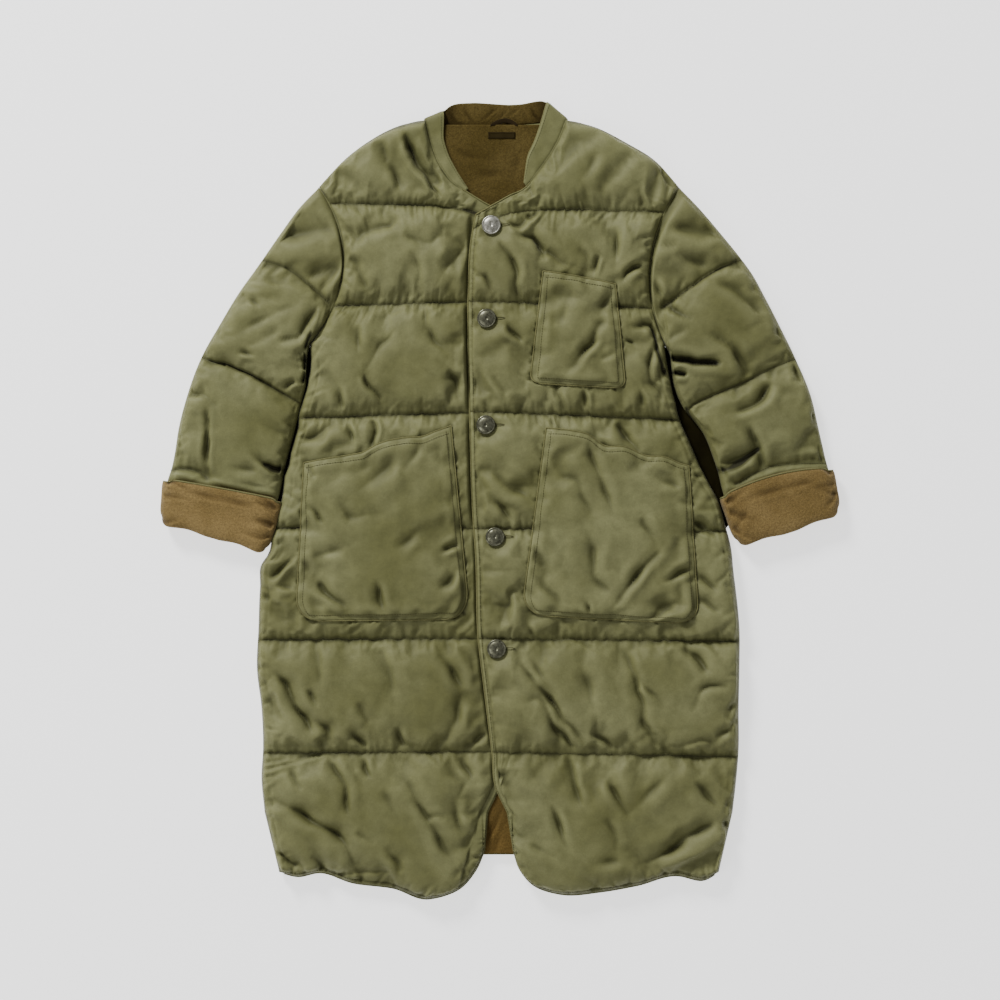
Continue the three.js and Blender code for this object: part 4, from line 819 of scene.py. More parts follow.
def front_surface(side):
    """A front's upper and inner side, with its seams' places."""
    rail, stitched = rail_rows()
    s = np.linspace(0, 1, FRONT_COLUMNS + 1)
    rail_grid, s_grid = np.meshgrid(rail, s, indexing="ij")
    x, y, side_y = front_plan(side, rail_grid, s_grid)
    for row in stitched:
        wave = QUILTING_WAVE * slow_noise((2, x.shape[1]), 1)[0] * np.sin(np.pi * s) ** 0.3
        wave += QUILTING_WAVE * 0.5 * RANDOM.normal(size=x.shape[1])
        y += wave[None, :] * bell(y - y[row][None, :], WAVE_REACH)
    outward = -1 if side == "right" else 1
    to_line = np.full(x.shape, 1e9)
    for row in stitched:
        to_line = np.minimum(to_line, np.abs(y - y[row][None, :]))
    from_side = np.hypot(x - x[:, :1], y - y[:, :1])
    from_edge = np.hypot(x - x[:, -1:], y - y[:, -1:])
    from_hem = np.hypot(x - x[:1], y - y[:1])
    from_top = np.hypot(x - x[-1:], y - y[-1:])
    up_ramp = (s_grid - RAMP_S) / (LAP_S - RAMP_S)
    lapped = np.where(s_grid >= RAMP_S, overlap_share(y) * ease(up_ramp), 0)
    inside = np.full(x.shape, FRONT_INSIDE)
    rise = CROWN_RISE * puffed(to_line) * puffed(from_hem, 7) * puffed(from_top, 9)
    rise *= lerp(0.45, 1, puffed(from_edge, 9))
    if side == "right":
        rise *= lerp(1, 0.6, overlap_share(y) * ease((s_grid - RAMP_S) / 0.16 + 1))
    if side == "left":
        inside = lerp(FRONT_INSIDE, OVERLAP_INSIDE, lapped)
        rise *= lerp(1, OVERLAP_PUFF, lapped)
    wander_x = FOLD_WANDER * slow_noise(x.shape, 46)
    wander_y = FOLD_WANDER * slow_noise(x.shape, 46)
    folds = hand_folds(f"front_{side}", x + wander_x, y + wander_y) + uneven(x.shape, 13)
    relief = SETTLED_SHARE * folds
    for row in stitched:
        line = path_of(x[row], y[row], 3)
        for turn in (1, -1):
            press_puckers(relief, x, y, line, turn, "quilting line")
    press_puckers(relief, x, y, path_of(x[:, 0], y[:, 0], 3), outward, "side seam")
    press_puckers(relief, x, y, path_of(x[:, -1], y[:, -1], 3), -outward, "front edge")
    press_puckers(relief, x, y, path_of(x[0], y[0], 3), -outward, "hem")
    to_pocket = np.full(x.shape, 1e9)
    under_pocket = np.zeros(x.shape)
    for pocket in POCKETS.values():
        if pocket["on"] != side:
            continue
        covered = inside_share(x, y, pocket)
        under_pocket = np.maximum(under_pocket, covered)
        rise = lerp(rise, PRESSED_BY_POCKET, covered)
        relief *= 1 - covered
        outline = pocket_outline(pocket, 60)
        press_puckers(relief, x, y, outline, 1, "round a pocket")
        to_pocket = np.minimum(to_pocket, distance_to_path(x, y, np.concatenate([outline, outline[:1]])))
    fade = np.clip(rise / CROWN_RISE * FOLDS_FROM_SEAM, 0.12, 1)
    top = inside + FRONT_WALL + np.maximum(rise + relief * fade, 0.2)
    edge_groove = bell(from_edge - EDGE_STITCH_INSET, GROOVE_WIDTH)
    hem_groove = bell(from_hem - HEM_STITCH_INSET, GROOVE_WIDTH)
    side_groove = bell(from_side - SIDE_SEAM_INSET, 1.8) * (side_y < ARMPIT_Y - 20)
    top -= 1.1 * edge_groove + 1.6 * hem_groove + 1.3 * side_groove
    if side == "right":
        at_lap = ease(4 * (s_grid - RAMP_S) / (LAP_S - RAMP_S) - 3)
        lapped = np.where(s_grid >= RAMP_S, overlap_share(y) * at_lap, 0)
        top = lerp(top, np.minimum(top, UNDERLAP_TOP), lapped)
    folded = np.where(side_y > ARMPIT_Y, 0, 1) * np.ones(x.shape)
    edge_top = lerp(inside + FRONT_WALL - 1, SIDE_SEAM_HEIGHT + 2 * SEAM_GAP, folded)
    rounding = rounded(from_side, SIDE_ROUNDING)
    top = lerp(edge_top, top, rounding)
    shoulder = rounded(from_top, SHOULDER_ROUNDING)
    top = np.where(s_grid <= NECK_POINT_S, lerp(SIDE_SEAM_HEIGHT + 2 * SEAM_GAP, top, shoulder), top)
    hem_round = rounded(from_hem, HEM_ROUNDING)
    top = lerp(inside + 1.2, top, hem_round)
    front_round = rounded(from_edge, EDGE_ROUNDING)
    top = lerp(inside + 1.4, top, front_round)
    held = (to_line < 1.0) | (from_side < 5) | (from_edge < 7) | (from_hem < 4) | (from_top < 3)
    held |= under_pocket > 0.5
    if side == "right":
        held |= lapped > 0.05
    upper = crumpled(np.stack([x, y, top], axis=2), held, CLOTH_ROOM, MOST_WRINKLE)
    free = np.where(held, 0, fade) * (1 - np.exp(-from_edge / 6))
    pressed, shade = deep_hollows(f"front_{side}", x, y)
    creases = sharp_creases(f"front_{side}", x + wander_x, y + wander_y)
    upper[:, :, 2] += free * (PRESSED_SHARE * folds + creases - pressed)
    level = under_ceiling(upper[:, :, 2], LEVEL_FROM, LEVEL_ROOM)
    upper[:, :, 2] = np.maximum(level, inside + 1.2 * (from_side > 6))
    if side == "left":
        seat_buttons(upper)
    under = np.minimum(inside, upper[:, :, 2] - LEAST_WALL)
    lower = np.stack([x - outward * 2.5 * np.exp(-from_side / 3), y, under], axis=2)
    wear = bell(from_edge, 4) + 0.7 * bell(from_hem, 5)
    # Painted shade: darker in the cloth's hollows, along the quilting lines, in the stitched grooves, round
    # the pockets and in the deep tucks; lighter on the crests, painted highlight with some wear.
    painted_shade = hollows(upper[:, :, 2]) + 1.8 * bell(to_line, 1.3)
    painted_shade += shade + 2.2 * hem_groove + 1.0 * side_groove + 0.6 * edge_groove + 1.5 * bell(to_pocket, 3.5)
    return {"upper": upper, "lower": lower, "stitched": stitched, "wear": wear, "painted_shade": painted_shade}


def pocket_outline(pocket, count):
    """A pocket's sides and bottom in plan, from its top left corner round to its top right one."""
    order = ("top_left", "bottom_left", "bottom_right", "top_right")
    corners = [np.array(pocket[key], float) for key in order]
    radius = pocket["corner"]
    points = [corners[0]]
    for k in (1, 2):
        before = corners[k - 1] - corners[k]
        after = corners[k + 1] - corners[k]
        enter = corners[k] + before / np.hypot(*before) * radius
        leave = corners[k] + after / np.hypot(*after) * radius
        for t in np.linspace(0, 1, 9):
            points.append(enter * (1 - t) ** 2 + corners[k] * 2 * t * (1 - t) + leave * t**2)
    points.append(corners[3])
    points = np.array(points)
    run = run_along(points)
    at = np.linspace(0, run[-1], count)
    return np.stack([np.interp(at, run, points[:, 0]), np.interp(at, run, points[:, 1])], axis=1)


def grid_faces(rows, columns, start=0, wrap=False):
    """The faces of a grid of points, closed round on itself where it wraps."""
    i, j = np.meshgrid(np.arange(rows - 1), np.arange(columns if wrap else columns - 1), indexing="ij")
    after = (j + 1) % columns
    corners = [i * columns + j, i * columns + after, (i + 1) * columns + after, (i + 1) * columns + j]
    return (np.stack([c.ravel() for c in corners], axis=1) + start).tolist()


def rim_loop(rows, columns, start=0):
    """The points round a grid's rim, in order."""
    bottom = np.arange(columns - 1)
    right = np.arange(rows - 1) * columns + columns - 1
    top = (rows - 1) * columns + np.arange(columns - 1, 0, -1)
    left = np.arange(rows - 1, 0, -1) * columns
    return (np.concatenate([bottom, right, top, left]) + start).tolist()


def rim_faces(fine, coarse, step):
    """Joins a fine closed loop of points to a coarse one."""
    faces = []
    for k, corner in enumerate(coarse):
        after = coarse[(k + 1) % len(coarse)]
        part = [fine[(k * step + j) % len(fine)] for j in range(step + 1)]
        half = step // 2
        for j in range(step):
            faces.append((part[j], part[j + 1], corner if j < half else after))
        faces.append((part[half], after, corner))
    return faces


def make_mesh(name, points, faces, material, loose=False):
    """A finished piece at the origin, with its faces outwards unless it is one loose sheet."""
    mesh = bpy.data.meshes.new(name)
    mesh.from_pydata((np.asarray(points) * MM).tolist(), [], faces)
    if not loose:
        shape = bmesh.new()
        shape.from_mesh(mesh)
        bmesh.ops.recalc_face_normals(shape, faces=shape.faces)
        shape.to_mesh(mesh)
        shape.free()
    mesh.shade_smooth()
    mesh.materials.append(material)
    piece = bpy.data.objects.new(name, mesh)
    bpy.context.scene.collection.objects.link(piece)
    return piece


def mark(piece, name, values):
    """Stores a number for each point of a piece's upper side, for its material to read."""
    attribute = piece.data.attributes.new(name, "FLOAT", "POINT")
    full = np.zeros(len(piece.data.vertices), np.float32)
    full[: values.size] = values.ravel()
    attribute.data.foreach_set("value", full)


def hollows(height):
    """How far each point lies below (over 0) or above (under 0) the cloth round it, in millimetres."""
    return blur(height, 24) - blur(height, 2)


def panel_shell(name, upper, lower, material, step=COARSE_STEP):
    """A closed piece between a fine upper side and a coarse lower side."""
    rows, columns = upper.shape[:2]
    coarse = lower[::step, ::step]
    low_rows, low_columns = coarse.shape[:2]
    start = rows * columns
    points = np.concatenate([upper.reshape(-1, 3), coarse.reshape(-1, 3)])
    faces = grid_faces(rows, columns) + grid_faces(low_rows, low_columns, start)
    faces += rim_faces(rim_loop(rows, columns), rim_loop(low_rows, low_columns, start), step)
    return make_mesh(name, points, faces, material)


def tube_shell(name, outer, inner, material, step=COARSE_STEP):
    """A closed wall between a fine outer tube and a coarse inner one, joined at both ends."""
    rows, columns = outer.shape[:2]
    coarse = inner[::step, ::step]
    low_rows, low_columns = coarse.shape[:2]
    start = rows * columns
    points = np.concatenate([outer.reshape(-1, 3), coarse.reshape(-1, 3)])
    faces = grid_faces(rows, columns, 0, True) + grid_faces(low_rows, low_columns, start, True)
    for fine_row, low_row in ((0, 0), (rows - 1, low_rows - 1)):
        fine = list(range(fine_row * columns, (fine_row + 1) * columns))
        low = list(range(start + low_row * low_columns, start + (low_row + 1) * low_columns))
        faces += rim_faces(fine, low, step)
    return make_mesh(name, points, faces, material)


def ring_solid(name, loops, material):
    """A closed ring: loops[k] is its section at one place round it."""
    rings, around = loops.shape[:2]
    wrapped = np.concatenate([loops, loops[:1]])
    faces = np.array(grid_faces(rings + 1, around, 0, True)) % (rings * around)
    return make_mesh(name, wrapped[:-1].reshape(-1, 3), faces.tolist(), material)


# Materials
class Finish:
    """A material in the making. Its patterns lie on the piece's own Object coordinates."""

    def __init__(self, name):
        self.material = bpy.data.materials.new(name)
        self.material.use_nodes = True
        self.nodes = self.material.node_tree.nodes
        self.links = self.material.node_tree.links
        self.shader = self.nodes["Principled BSDF"]
        self.place = self.nodes.new("ShaderNodeTexCoord").outputs["Object"]

    def feed(self, socket, value):
        """Gives a socket another node's output, or a constant."""
        if isinstance(value, bpy.types.NodeSocket):
            self.links.new(value, socket)
        else:
            socket.default_value = value

    def node(self, kind, **values):
        """Adds a node and feeds its sockets, named with underscores for spaces."""
        node = self.nodes.new(kind)
        for name, value in values.items():
            self.feed(node.inputs[name.replace("_", " ")], value)
        return node

    def constants(self, **values):
        """Sets the shader's own sockets."""
        for name, value in values.items():
            self.shader.inputs[name.replace("_", " ")].default_value = value

    def noise(self, scale, detail, roughness=0.55):
        """Uneven grey levels."""
        node = self.node(
            "ShaderNodeTexNoise", Scale=scale, Detail=detail, Roughness=roughness, Vector=self.place
        )
        return node.outputs["Fac"]

    def ramp(self, value, low, high, first, last):
        """Maps a value's range onto two grey levels."""
        node = self.node(
            "ShaderNodeMapRange", From_Min=low, From_Max=high, To_Min=first, To_Max=last, Value=value
        )
        return node.outputs["Result"]

    def mix(self, share, first, second):
        """Mixes two colours, each a socket or three numbers, by a share."""
        node = self.nodes.new("ShaderNodeMix")
        node.data_type = "RGBA"
        self.feed(node.inputs[0], share)
        for colour, place in ((first, 6), (second, 7)):
            self.feed(node.inputs[place], (*colour, 1) if isinstance(colour, tuple) else colour)
        return node.outputs[2]

    def attribute(self, name):
        """A number that the piece stores for each of its points."""
        node = self.nodes.new("ShaderNodeAttribute")
        node.attribute_name = name
        return node.outputs["Fac"]

    def bump(self, height, strength, distance, normal=None):
        node = self.node("ShaderNodeBump", Strength=strength, Distance=distance, Height=height)
        if normal is not None:
            self.links.new(normal, node.inputs["Normal"])
        return node.outputs["Normal"]

    def weave(self, pitch):
        """Fine crossed threads."""
        crossed = self.nodes.new("ShaderNodeMath")
        crossed.operation = "MULTIPLY"
        for k, direction in enumerate("XY"):
            node = self.node(
                "ShaderNodeTexWave", Scale=1 / (pitch * MM) / 6.283 * 2, Distortion=0.6, Detail=1,
                Vector=self.place,
            )
            node.bands_direction = direction
            self.links.new(node.outputs["Fac"], crossed.inputs[k])
        return crossed.outputs[0]

    def done(self, colour, normal):
        """Gives the shader its colour and its fine relief."""
        self.links.new(colour, self.shader.inputs["Base Color"])
        self.links.new(normal, self.shader.inputs["Normal"])
        return self.material


def cotton(name, base, faded_and_highlight, dark_tone_and_shade, sheen=0.04, gloss=0.24):
    """Washed olive cotton: fine weave, slow colour changes, pale along seams, painted shade in the hollows,
    near-black painted shade in the deep tucks, and painted highlight with some wear on the crests.
    """
    paint = Finish(name)
    mottle = paint.noise(60, 5, 0.65)
    colour = paint.mix(paint.ramp(paint.noise(9, 3), 0.35, 0.65, 0, 1), base, faded_and_highlight)
    colour = paint.mix(paint.ramp(mottle, 0.3, 0.7, 0, 0.4), colour, dark_tone_and_shade)
    colour = paint.mix(paint.ramp(paint.attribute("wear"), 0, 1, 0, 0.55), colour, faded_and_highlight)
    # Painted shade: darker in the hollows and grooves and near-black in the deep tucks; below zero, painted
    # highlight with some wear on the crests.
    painted_shade = paint.attribute("painted_shade")
    colour = paint.mix(paint.ramp(painted_shade, 0.1, 2.2, 0, 0.75), colour, dark_tone_and_shade)
    colour = paint.mix(paint.ramp(painted_shade, 3.6, 5.6, 0, 0.94), colour, DEEP_SHADE)
    colour = paint.mix(paint.ramp(painted_shade, -0.1, -1.6, 0, 0.4), colour, faded_and_highlight)
    grain = paint.noise(900, 3, 0.7)
    colour = paint.mix(paint.ramp(grain, 0.35, 0.65, 0.0, 0.22), colour, dark_tone_and_shade)
    paint.constants(Roughness=0.62, Sheen_Weight=sheen, Sheen_Roughness=0.45, Specular_IOR_Level=gloss)
    normal = paint.bump(paint.weave(0.9), 0.35, 0.0002)
    normal = paint.bump(mottle, 0.25, 0.0012, normal)
    normal = paint.bump(paint.noise(220, 4), 0.3, 0.0006, normal)
    return paint.done(colour, normal)


def wool(name, base, pale, dark, sheen):
    """Brushed wool with short fuzz and uneven felting, and painted shade in its folds and hollows."""
    paint = Finish(name)
    fuzz = paint.noise(380, 6, 0.75)
    flecks = paint.noise(900, 4, 0.8)
    colour = paint.mix(paint.ramp(paint.noise(18, 3), 0.35, 0.65, 0, 1), base, pale)
    colour = paint.mix(paint.ramp(fuzz, 0.35, 0.7, 0, 0.7), colour, dark)
    colour = paint.mix(paint.ramp(flecks, 0.45, 0.7, 0, 0.7), colour, pale)
    # Painted shade where the piece marks its folds, edges and hollows.
    colour = paint.mix(paint.ramp(paint.attribute("painted_shade"), 0.1, 2.0, 0, 0.7), colour, dark)
    paint.constants(Roughness=0.9, Sheen_Weight=sheen, Sheen_Roughness=0.6, Specular_IOR_Level=0.08)
    normal = paint.bump(fuzz, 0.9, 0.0018)
    return paint.done(colour, paint.bump(flecks, 0.5, 0.0006, normal))


def thread_cloth(name, base, dark, roughness, scale):
    """Thread, tape or piping: one colour broken by fine twist."""
    paint = Finish(name)
    twist = paint.noise(scale, 3)
    colour = paint.mix(paint.ramp(twist, 0.35, 0.65, 0, 0.6), base, dark)
    paint.constants(Roughness=roughness, Specular_IOR_Level=0.12)
    return paint.done(colour, paint.bump(twist, 0.4, 0.0004))


def metal(name, base, dark):
    """Aged cast metal: brushed, with darker tarnish."""
    paint = Finish(name)
    tarnish = paint.noise(260, 5, 0.7)
    colour = paint.mix(paint.ramp(tarnish, 0.4, 0.65, 0, 0.85), base, dark)
    paint.constants(Metallic=1)
    paint.links.new(paint.ramp(tarnish, 0.3, 0.7, 0.28, 0.5), paint.shader.inputs["Roughness"])
    return paint.done(colour, paint.bump(paint.noise(1500, 3, 0.7), 0.2, 0.0003))


OLIVE = cotton("olive_cotton", (0.142, 0.143, 0.049), (0.215, 0.218, 0.095), (0.05, 0.051, 0.014))
EDGE_OLIVE = thread_cloth("olive_edging", (0.17, 0.165, 0.07), (0.11, 0.107, 0.036), 0.7, 700)
OLIVE_THREAD = thread_cloth("olive_thread", (0.075, 0.072, 0.03), (0.03, 0.03, 0.012), 0.6, 1500)
BROWN_WOOL = wool("brown_wool", (0.185, 0.122, 0.034), (0.31, 0.215, 0.078), (0.06, 0.034, 0.006), 0.12)
DARK_LINING = wool("brown_lining", (0.08, 0.057, 0.014), (0.12, 0.087, 0.026), (0.018, 0.011, 0.002), 0.0)
HEM_LINING = wool("hem_lining", (0.11, 0.075, 0.022), (0.19, 0.12, 0.034), (0.05, 0.029, 0.007), 0.0)
TAPE = thread_cloth("brown_tape", (0.022, 0.014, 0.004), (0.008, 0.005, 0.002), 0.95, 900)
LABEL_CLOTH = thread_cloth("label_cloth", (0.026, 0.018, 0.003), (0.012, 0.008, 0.002), 0.85, 1100)
BUTTON_METAL = metal("button_metal", (0.2, 0.2, 0.14), (0.035, 0.034, 0.02))
PALE_METAL = metal("worn_button_metal", (0.55, 0.54, 0.47), (0.12, 0.115, 0.085))
# A near-black copy of the olive cotton: painted shade for the cloth deep in the gaps beside the sleeves.
SHADED_OLIVE = cotton(
    "olive_in_shade", (0.012, 0.01, 0.003), (0.02, 0.017, 0.005), (0.004, 0.003, 0.001), 0.0, 0.02
)


# Geometry Nodes: a row of stitches and a run of piping
def tree_with_inputs(name, inputs):
    """A Geometry Nodes tree with named inputs."""
    tree = bpy.data.node_groups.new(name, "GeometryNodeTree")
    tree.interface.new_socket("Geometry", in_out="INPUT", socket_type="NodeSocketGeometry")
    for label, kind in inputs:
        tree.interface.new_socket(label, in_out="INPUT", socket_type=kind)
    tree.interface.new_socket("Geometry", in_out="OUTPUT", socket_type="NodeSocketGeometry")
    return tree, tree.nodes.new("NodeGroupInput"), tree.nodes.new("NodeGroupOutput")


def add_nodes(tree, *kinds):
    return [tree.nodes.new(kind) for kind in kinds]


def join(tree, *rows):
    """Links sockets: each row is a node and its output, then a node and its input."""
    for giver, output, taker, socket in rows:
        tree.links.new(giver.outputs[output], taker.inputs[socket])


def stitch_tree():
    """Small rounded stitches laid end to end along every path."""
    tree, given, result = tree_with_inputs(
        "stitch_row",
        [("Pitch", "NodeSocketFloat"), ("Thread", "NodeSocketVector"), ("Material", "NodeSocketMaterial")],
    )
    curve, evenly, tangent, keep, turn, stitch, place, real, paint = add_nodes(
        tree,
        "GeometryNodeMeshToCurve", "GeometryNodeResampleCurve", "GeometryNodeInputTangent",
        "GeometryNodeCaptureAttribute", "FunctionNodeAlignRotationToVector", "GeometryNodeMeshUVSphere",
        "GeometryNodeInstanceOnPoints", "GeometryNodeRealizeInstances", "GeometryNodeSetMaterial",
    )
    evenly.mode = "LENGTH"
    keep.capture_items.new("VECTOR", "Tangent")
    turn.axis = "Z"
    stitch.inputs["Segments"].default_value = 5
    stitch.inputs["Rings"].default_value = 4
    stitch.inputs["Radius"].default_value = 1
    join(
        tree,
        (given, "Geometry", curve, "Mesh"),
        (curve, "Curve", evenly, "Curve"),
        (given, "Pitch", evenly, "Length"),
        (evenly, "Curve", keep, "Geometry"),
        (tangent, "Tangent", keep, "Tangent"),
        (keep, "Tangent", turn, "Vector"),
        (keep, "Geometry", place, "Points"),
        (stitch, "Mesh", place, "Instance"),
        (turn, "Rotation", place, "Rotation"),
        (given, "Thread", place, "Scale"),
        (place, "Instances", real, "Geometry"),
        (real, "Geometry", paint, "Geometry"),
        (given, "Material", paint, "Material"),
        (paint, "Geometry", result, "Geometry"),
    )
    return tree


def piping_tree():
    """A round cord along every path, closed at its ends."""
    tree, given, result = tree_with_inputs(
        "piping_run",
        [("Spacing", "NodeSocketFloat"), ("Radius", "NodeSocketFloat"), ("Material", "NodeSocketMaterial")],
    )
    curve, evenly, ring, sweep, soft, real, paint = add_nodes(
        tree,
        "GeometryNodeMeshToCurve", "GeometryNodeResampleCurve", "GeometryNodeCurvePrimitiveCircle",
        "GeometryNodeCurveToMesh", "GeometryNodeSetShadeSmooth", "GeometryNodeRealizeInstances",
        "GeometryNodeSetMaterial",
    )
    evenly.mode = "LENGTH"
    ring.inputs["Resolution"].default_value = 6
    sweep.inputs["Fill Caps"].default_value = True
    join(
        tree,
        (given, "Geometry", curve, "Mesh"),
        (curve, "Curve", evenly, "Curve"),
        (given, "Spacing", evenly, "Length"),
        (given, "Radius", ring, "Radius"),
        (evenly, "Curve", sweep, "Curve"),
        (ring, "Curve", sweep, "Profile Curve"),
        (sweep, "Mesh", soft, "Geometry"),
        (soft, "Geometry", real, "Geometry"),
        (real, "Geometry", paint, "Geometry"),
        (given, "Material", paint, "Material"),
        (paint, "Geometry", result, "Geometry"),
    )
    return tree


STITCH_ROW = stitch_tree()
PIPING_RUN = piping_tree()


def along_paths(name, tree, paths, values):
    """Runs a tree on a set of paths and returns the result as a plain mesh piece."""
    points = np.concatenate(paths)
    edges = []
    start = 0
    for path in paths:
        edges += [(start + k, start + k + 1) for k in range(len(path) - 1)]
        start += len(path)
    guide_mesh = bpy.data.meshes.new(name + "_path")
    guide_mesh.from_pydata((points * MM).tolist(), edges, [])
    guide = bpy.data.objects.new(name + "_path", guide_mesh)
    bpy.context.scene.collection.objects.link(guide)
    modifier = guide.modifiers.new("nodes", "NODES")
    modifier.node_group = tree
    for socket in tree.interface.items_tree:
        if socket.in_out == "INPUT" and socket.name in values:
            modifier[socket.identifier] = values[socket.name]
    graph = bpy.context.evaluated_depsgraph_get()
    mesh = bpy.data.meshes.new_from_object(guide.evaluated_get(graph))
    mesh.name = name
    bpy.data.objects.remove(guide)
    piece = bpy.data.objects.new(name, mesh)
    bpy.context.scene.collection.objects.link(piece)
    return piece


def stitches(name, paths, thread=OLIVE_THREAD, pitch=3.4, radius=0.42):
    """Rows of stitches along paths."""
    size = (radius * MM, radius * MM, pitch * 0.44 * MM)
    piece = along_paths(name, STITCH_ROW, paths, {"Pitch": pitch * MM, "Thread": size, "Material": thread})
    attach(piece, BODY)


def piping(name, paths, radius, material=EDGE_OLIVE):
    """Piping, or a turned edge, along paths."""
    values = {"Spacing": 3 * MM, "Radius": radius * MM, "Material": material}
    piece = along_paths(name, PIPING_RUN, paths, values)
    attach(piece, BODY)


def stands_for(piece, node):
    """Says which solid a finished piece stands for."""
    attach(piece, BODY)
    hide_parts(node)


def cloth_piece(piece, node):
    """Says which solid a finished piece of cloth stands for."""
    stands_for(piece, node)


def raised(path, lift):
    """A path lifted off the cloth."""
    lifted = path.copy()
    lifted[:, 2] += lift
    return lifted


def build_front(side):
    """One quilted front with its stitching and edges."""
    made = front_surface(side)
    piece = panel_shell(f"front_{side}_cloth", made["upper"], made["lower"], OLIVE)
    mark(piece, "wear", made["wear"])
    mark(piece, "painted_shade", made["painted_shade"])
    cloth_piece(piece, f"front_{side}")
    upper = made["upper"]
    rows = [raised(upper[row, 3:], 0.25) for row in made["stitched"]]
    rows.append(raised(upper[2:-2, -4], 0.2))
    rows.append(raised(upper[2, 3:-3], 0.2))
    stitches(f"front_{side}_stitches", rows)
    neckline = upper[-1, round(0.68 * FRONT_COLUMNS) :]
    front_edge = raised(upper[:-1, -1], 0.6)
    piping(f"front_{side}_edging", [front_edge, raised(neckline, 0.6)], 1.0)
    piping(f"front_{side}_hem_edging", [raised(upper[0, 4:-1], 0.2)], 1.0, OLIVE)
    return piece


def sleeve_sections(side, count):
    """The sleeve's columns read at even places along it, with the stitched places among them."""
    sections = SLEEVES[side]
    middle_x = (sections["outer_x"] + sections["inner_x"]) / 2 + sections["bow_x"]
    middle_y = (sections["outer_y"] + sections["inner_y"]) / 2 + sections["bow_y"]
    run = run_along(np.stack([middle_x, middle_y], axis=1))
    at = np.linspace(0, run[-1], count)
    column = {name: smooth(run, values, at) for name, values in sections.items() if name != "lift"}
    column["lift"] = np.interp(at, run, sections["lift"])
    cuff_at = run[-2]
    end = lerp(run[-2], run[-1], SLEEVE_END_IN_CUFF)
    return column, at, cuff_at, end


def sleeve_plan(column, t):
    """The sleeve's points in plan, t running from its outer to its inner edge."""
    outer = np.stack([column["outer_x"], column["outer_y"]], axis=1)[:, None]
    inner = np.stack([column["inner_x"], column["inner_y"]], axis=1)[:, None]
    bow = np.stack([column["bow_x"], column["bow_y"]], axis=1)[:, None]
    share = t[None, :, None]
    return lerp(outer, inner, share) + bow * 4 * share * (1 - share)


SLEEVE_LINES = {
    "right": [
        [(259, 259), (267, 261), (281.5, 266), (295, 274), (308, 284.5), (329, 303)],
        [(200, 356), (203, 357.6), (232, 367), (252, 376), (282, 393), (305, 406)],
        [(171, 470), (186, 468.6), (201, 473), (207, 478)],
    ],
    "left": [
        [(745, 259), (741, 260), (705, 278), (664, 307)],
        [(800, 358), (795.5, 359), (770.5, 369), (749, 380), (716, 394), (692, 406), (683, 415)],
        [(735, 484), (770, 467), (807, 463.5), (832, 463.5)],
    ],
}


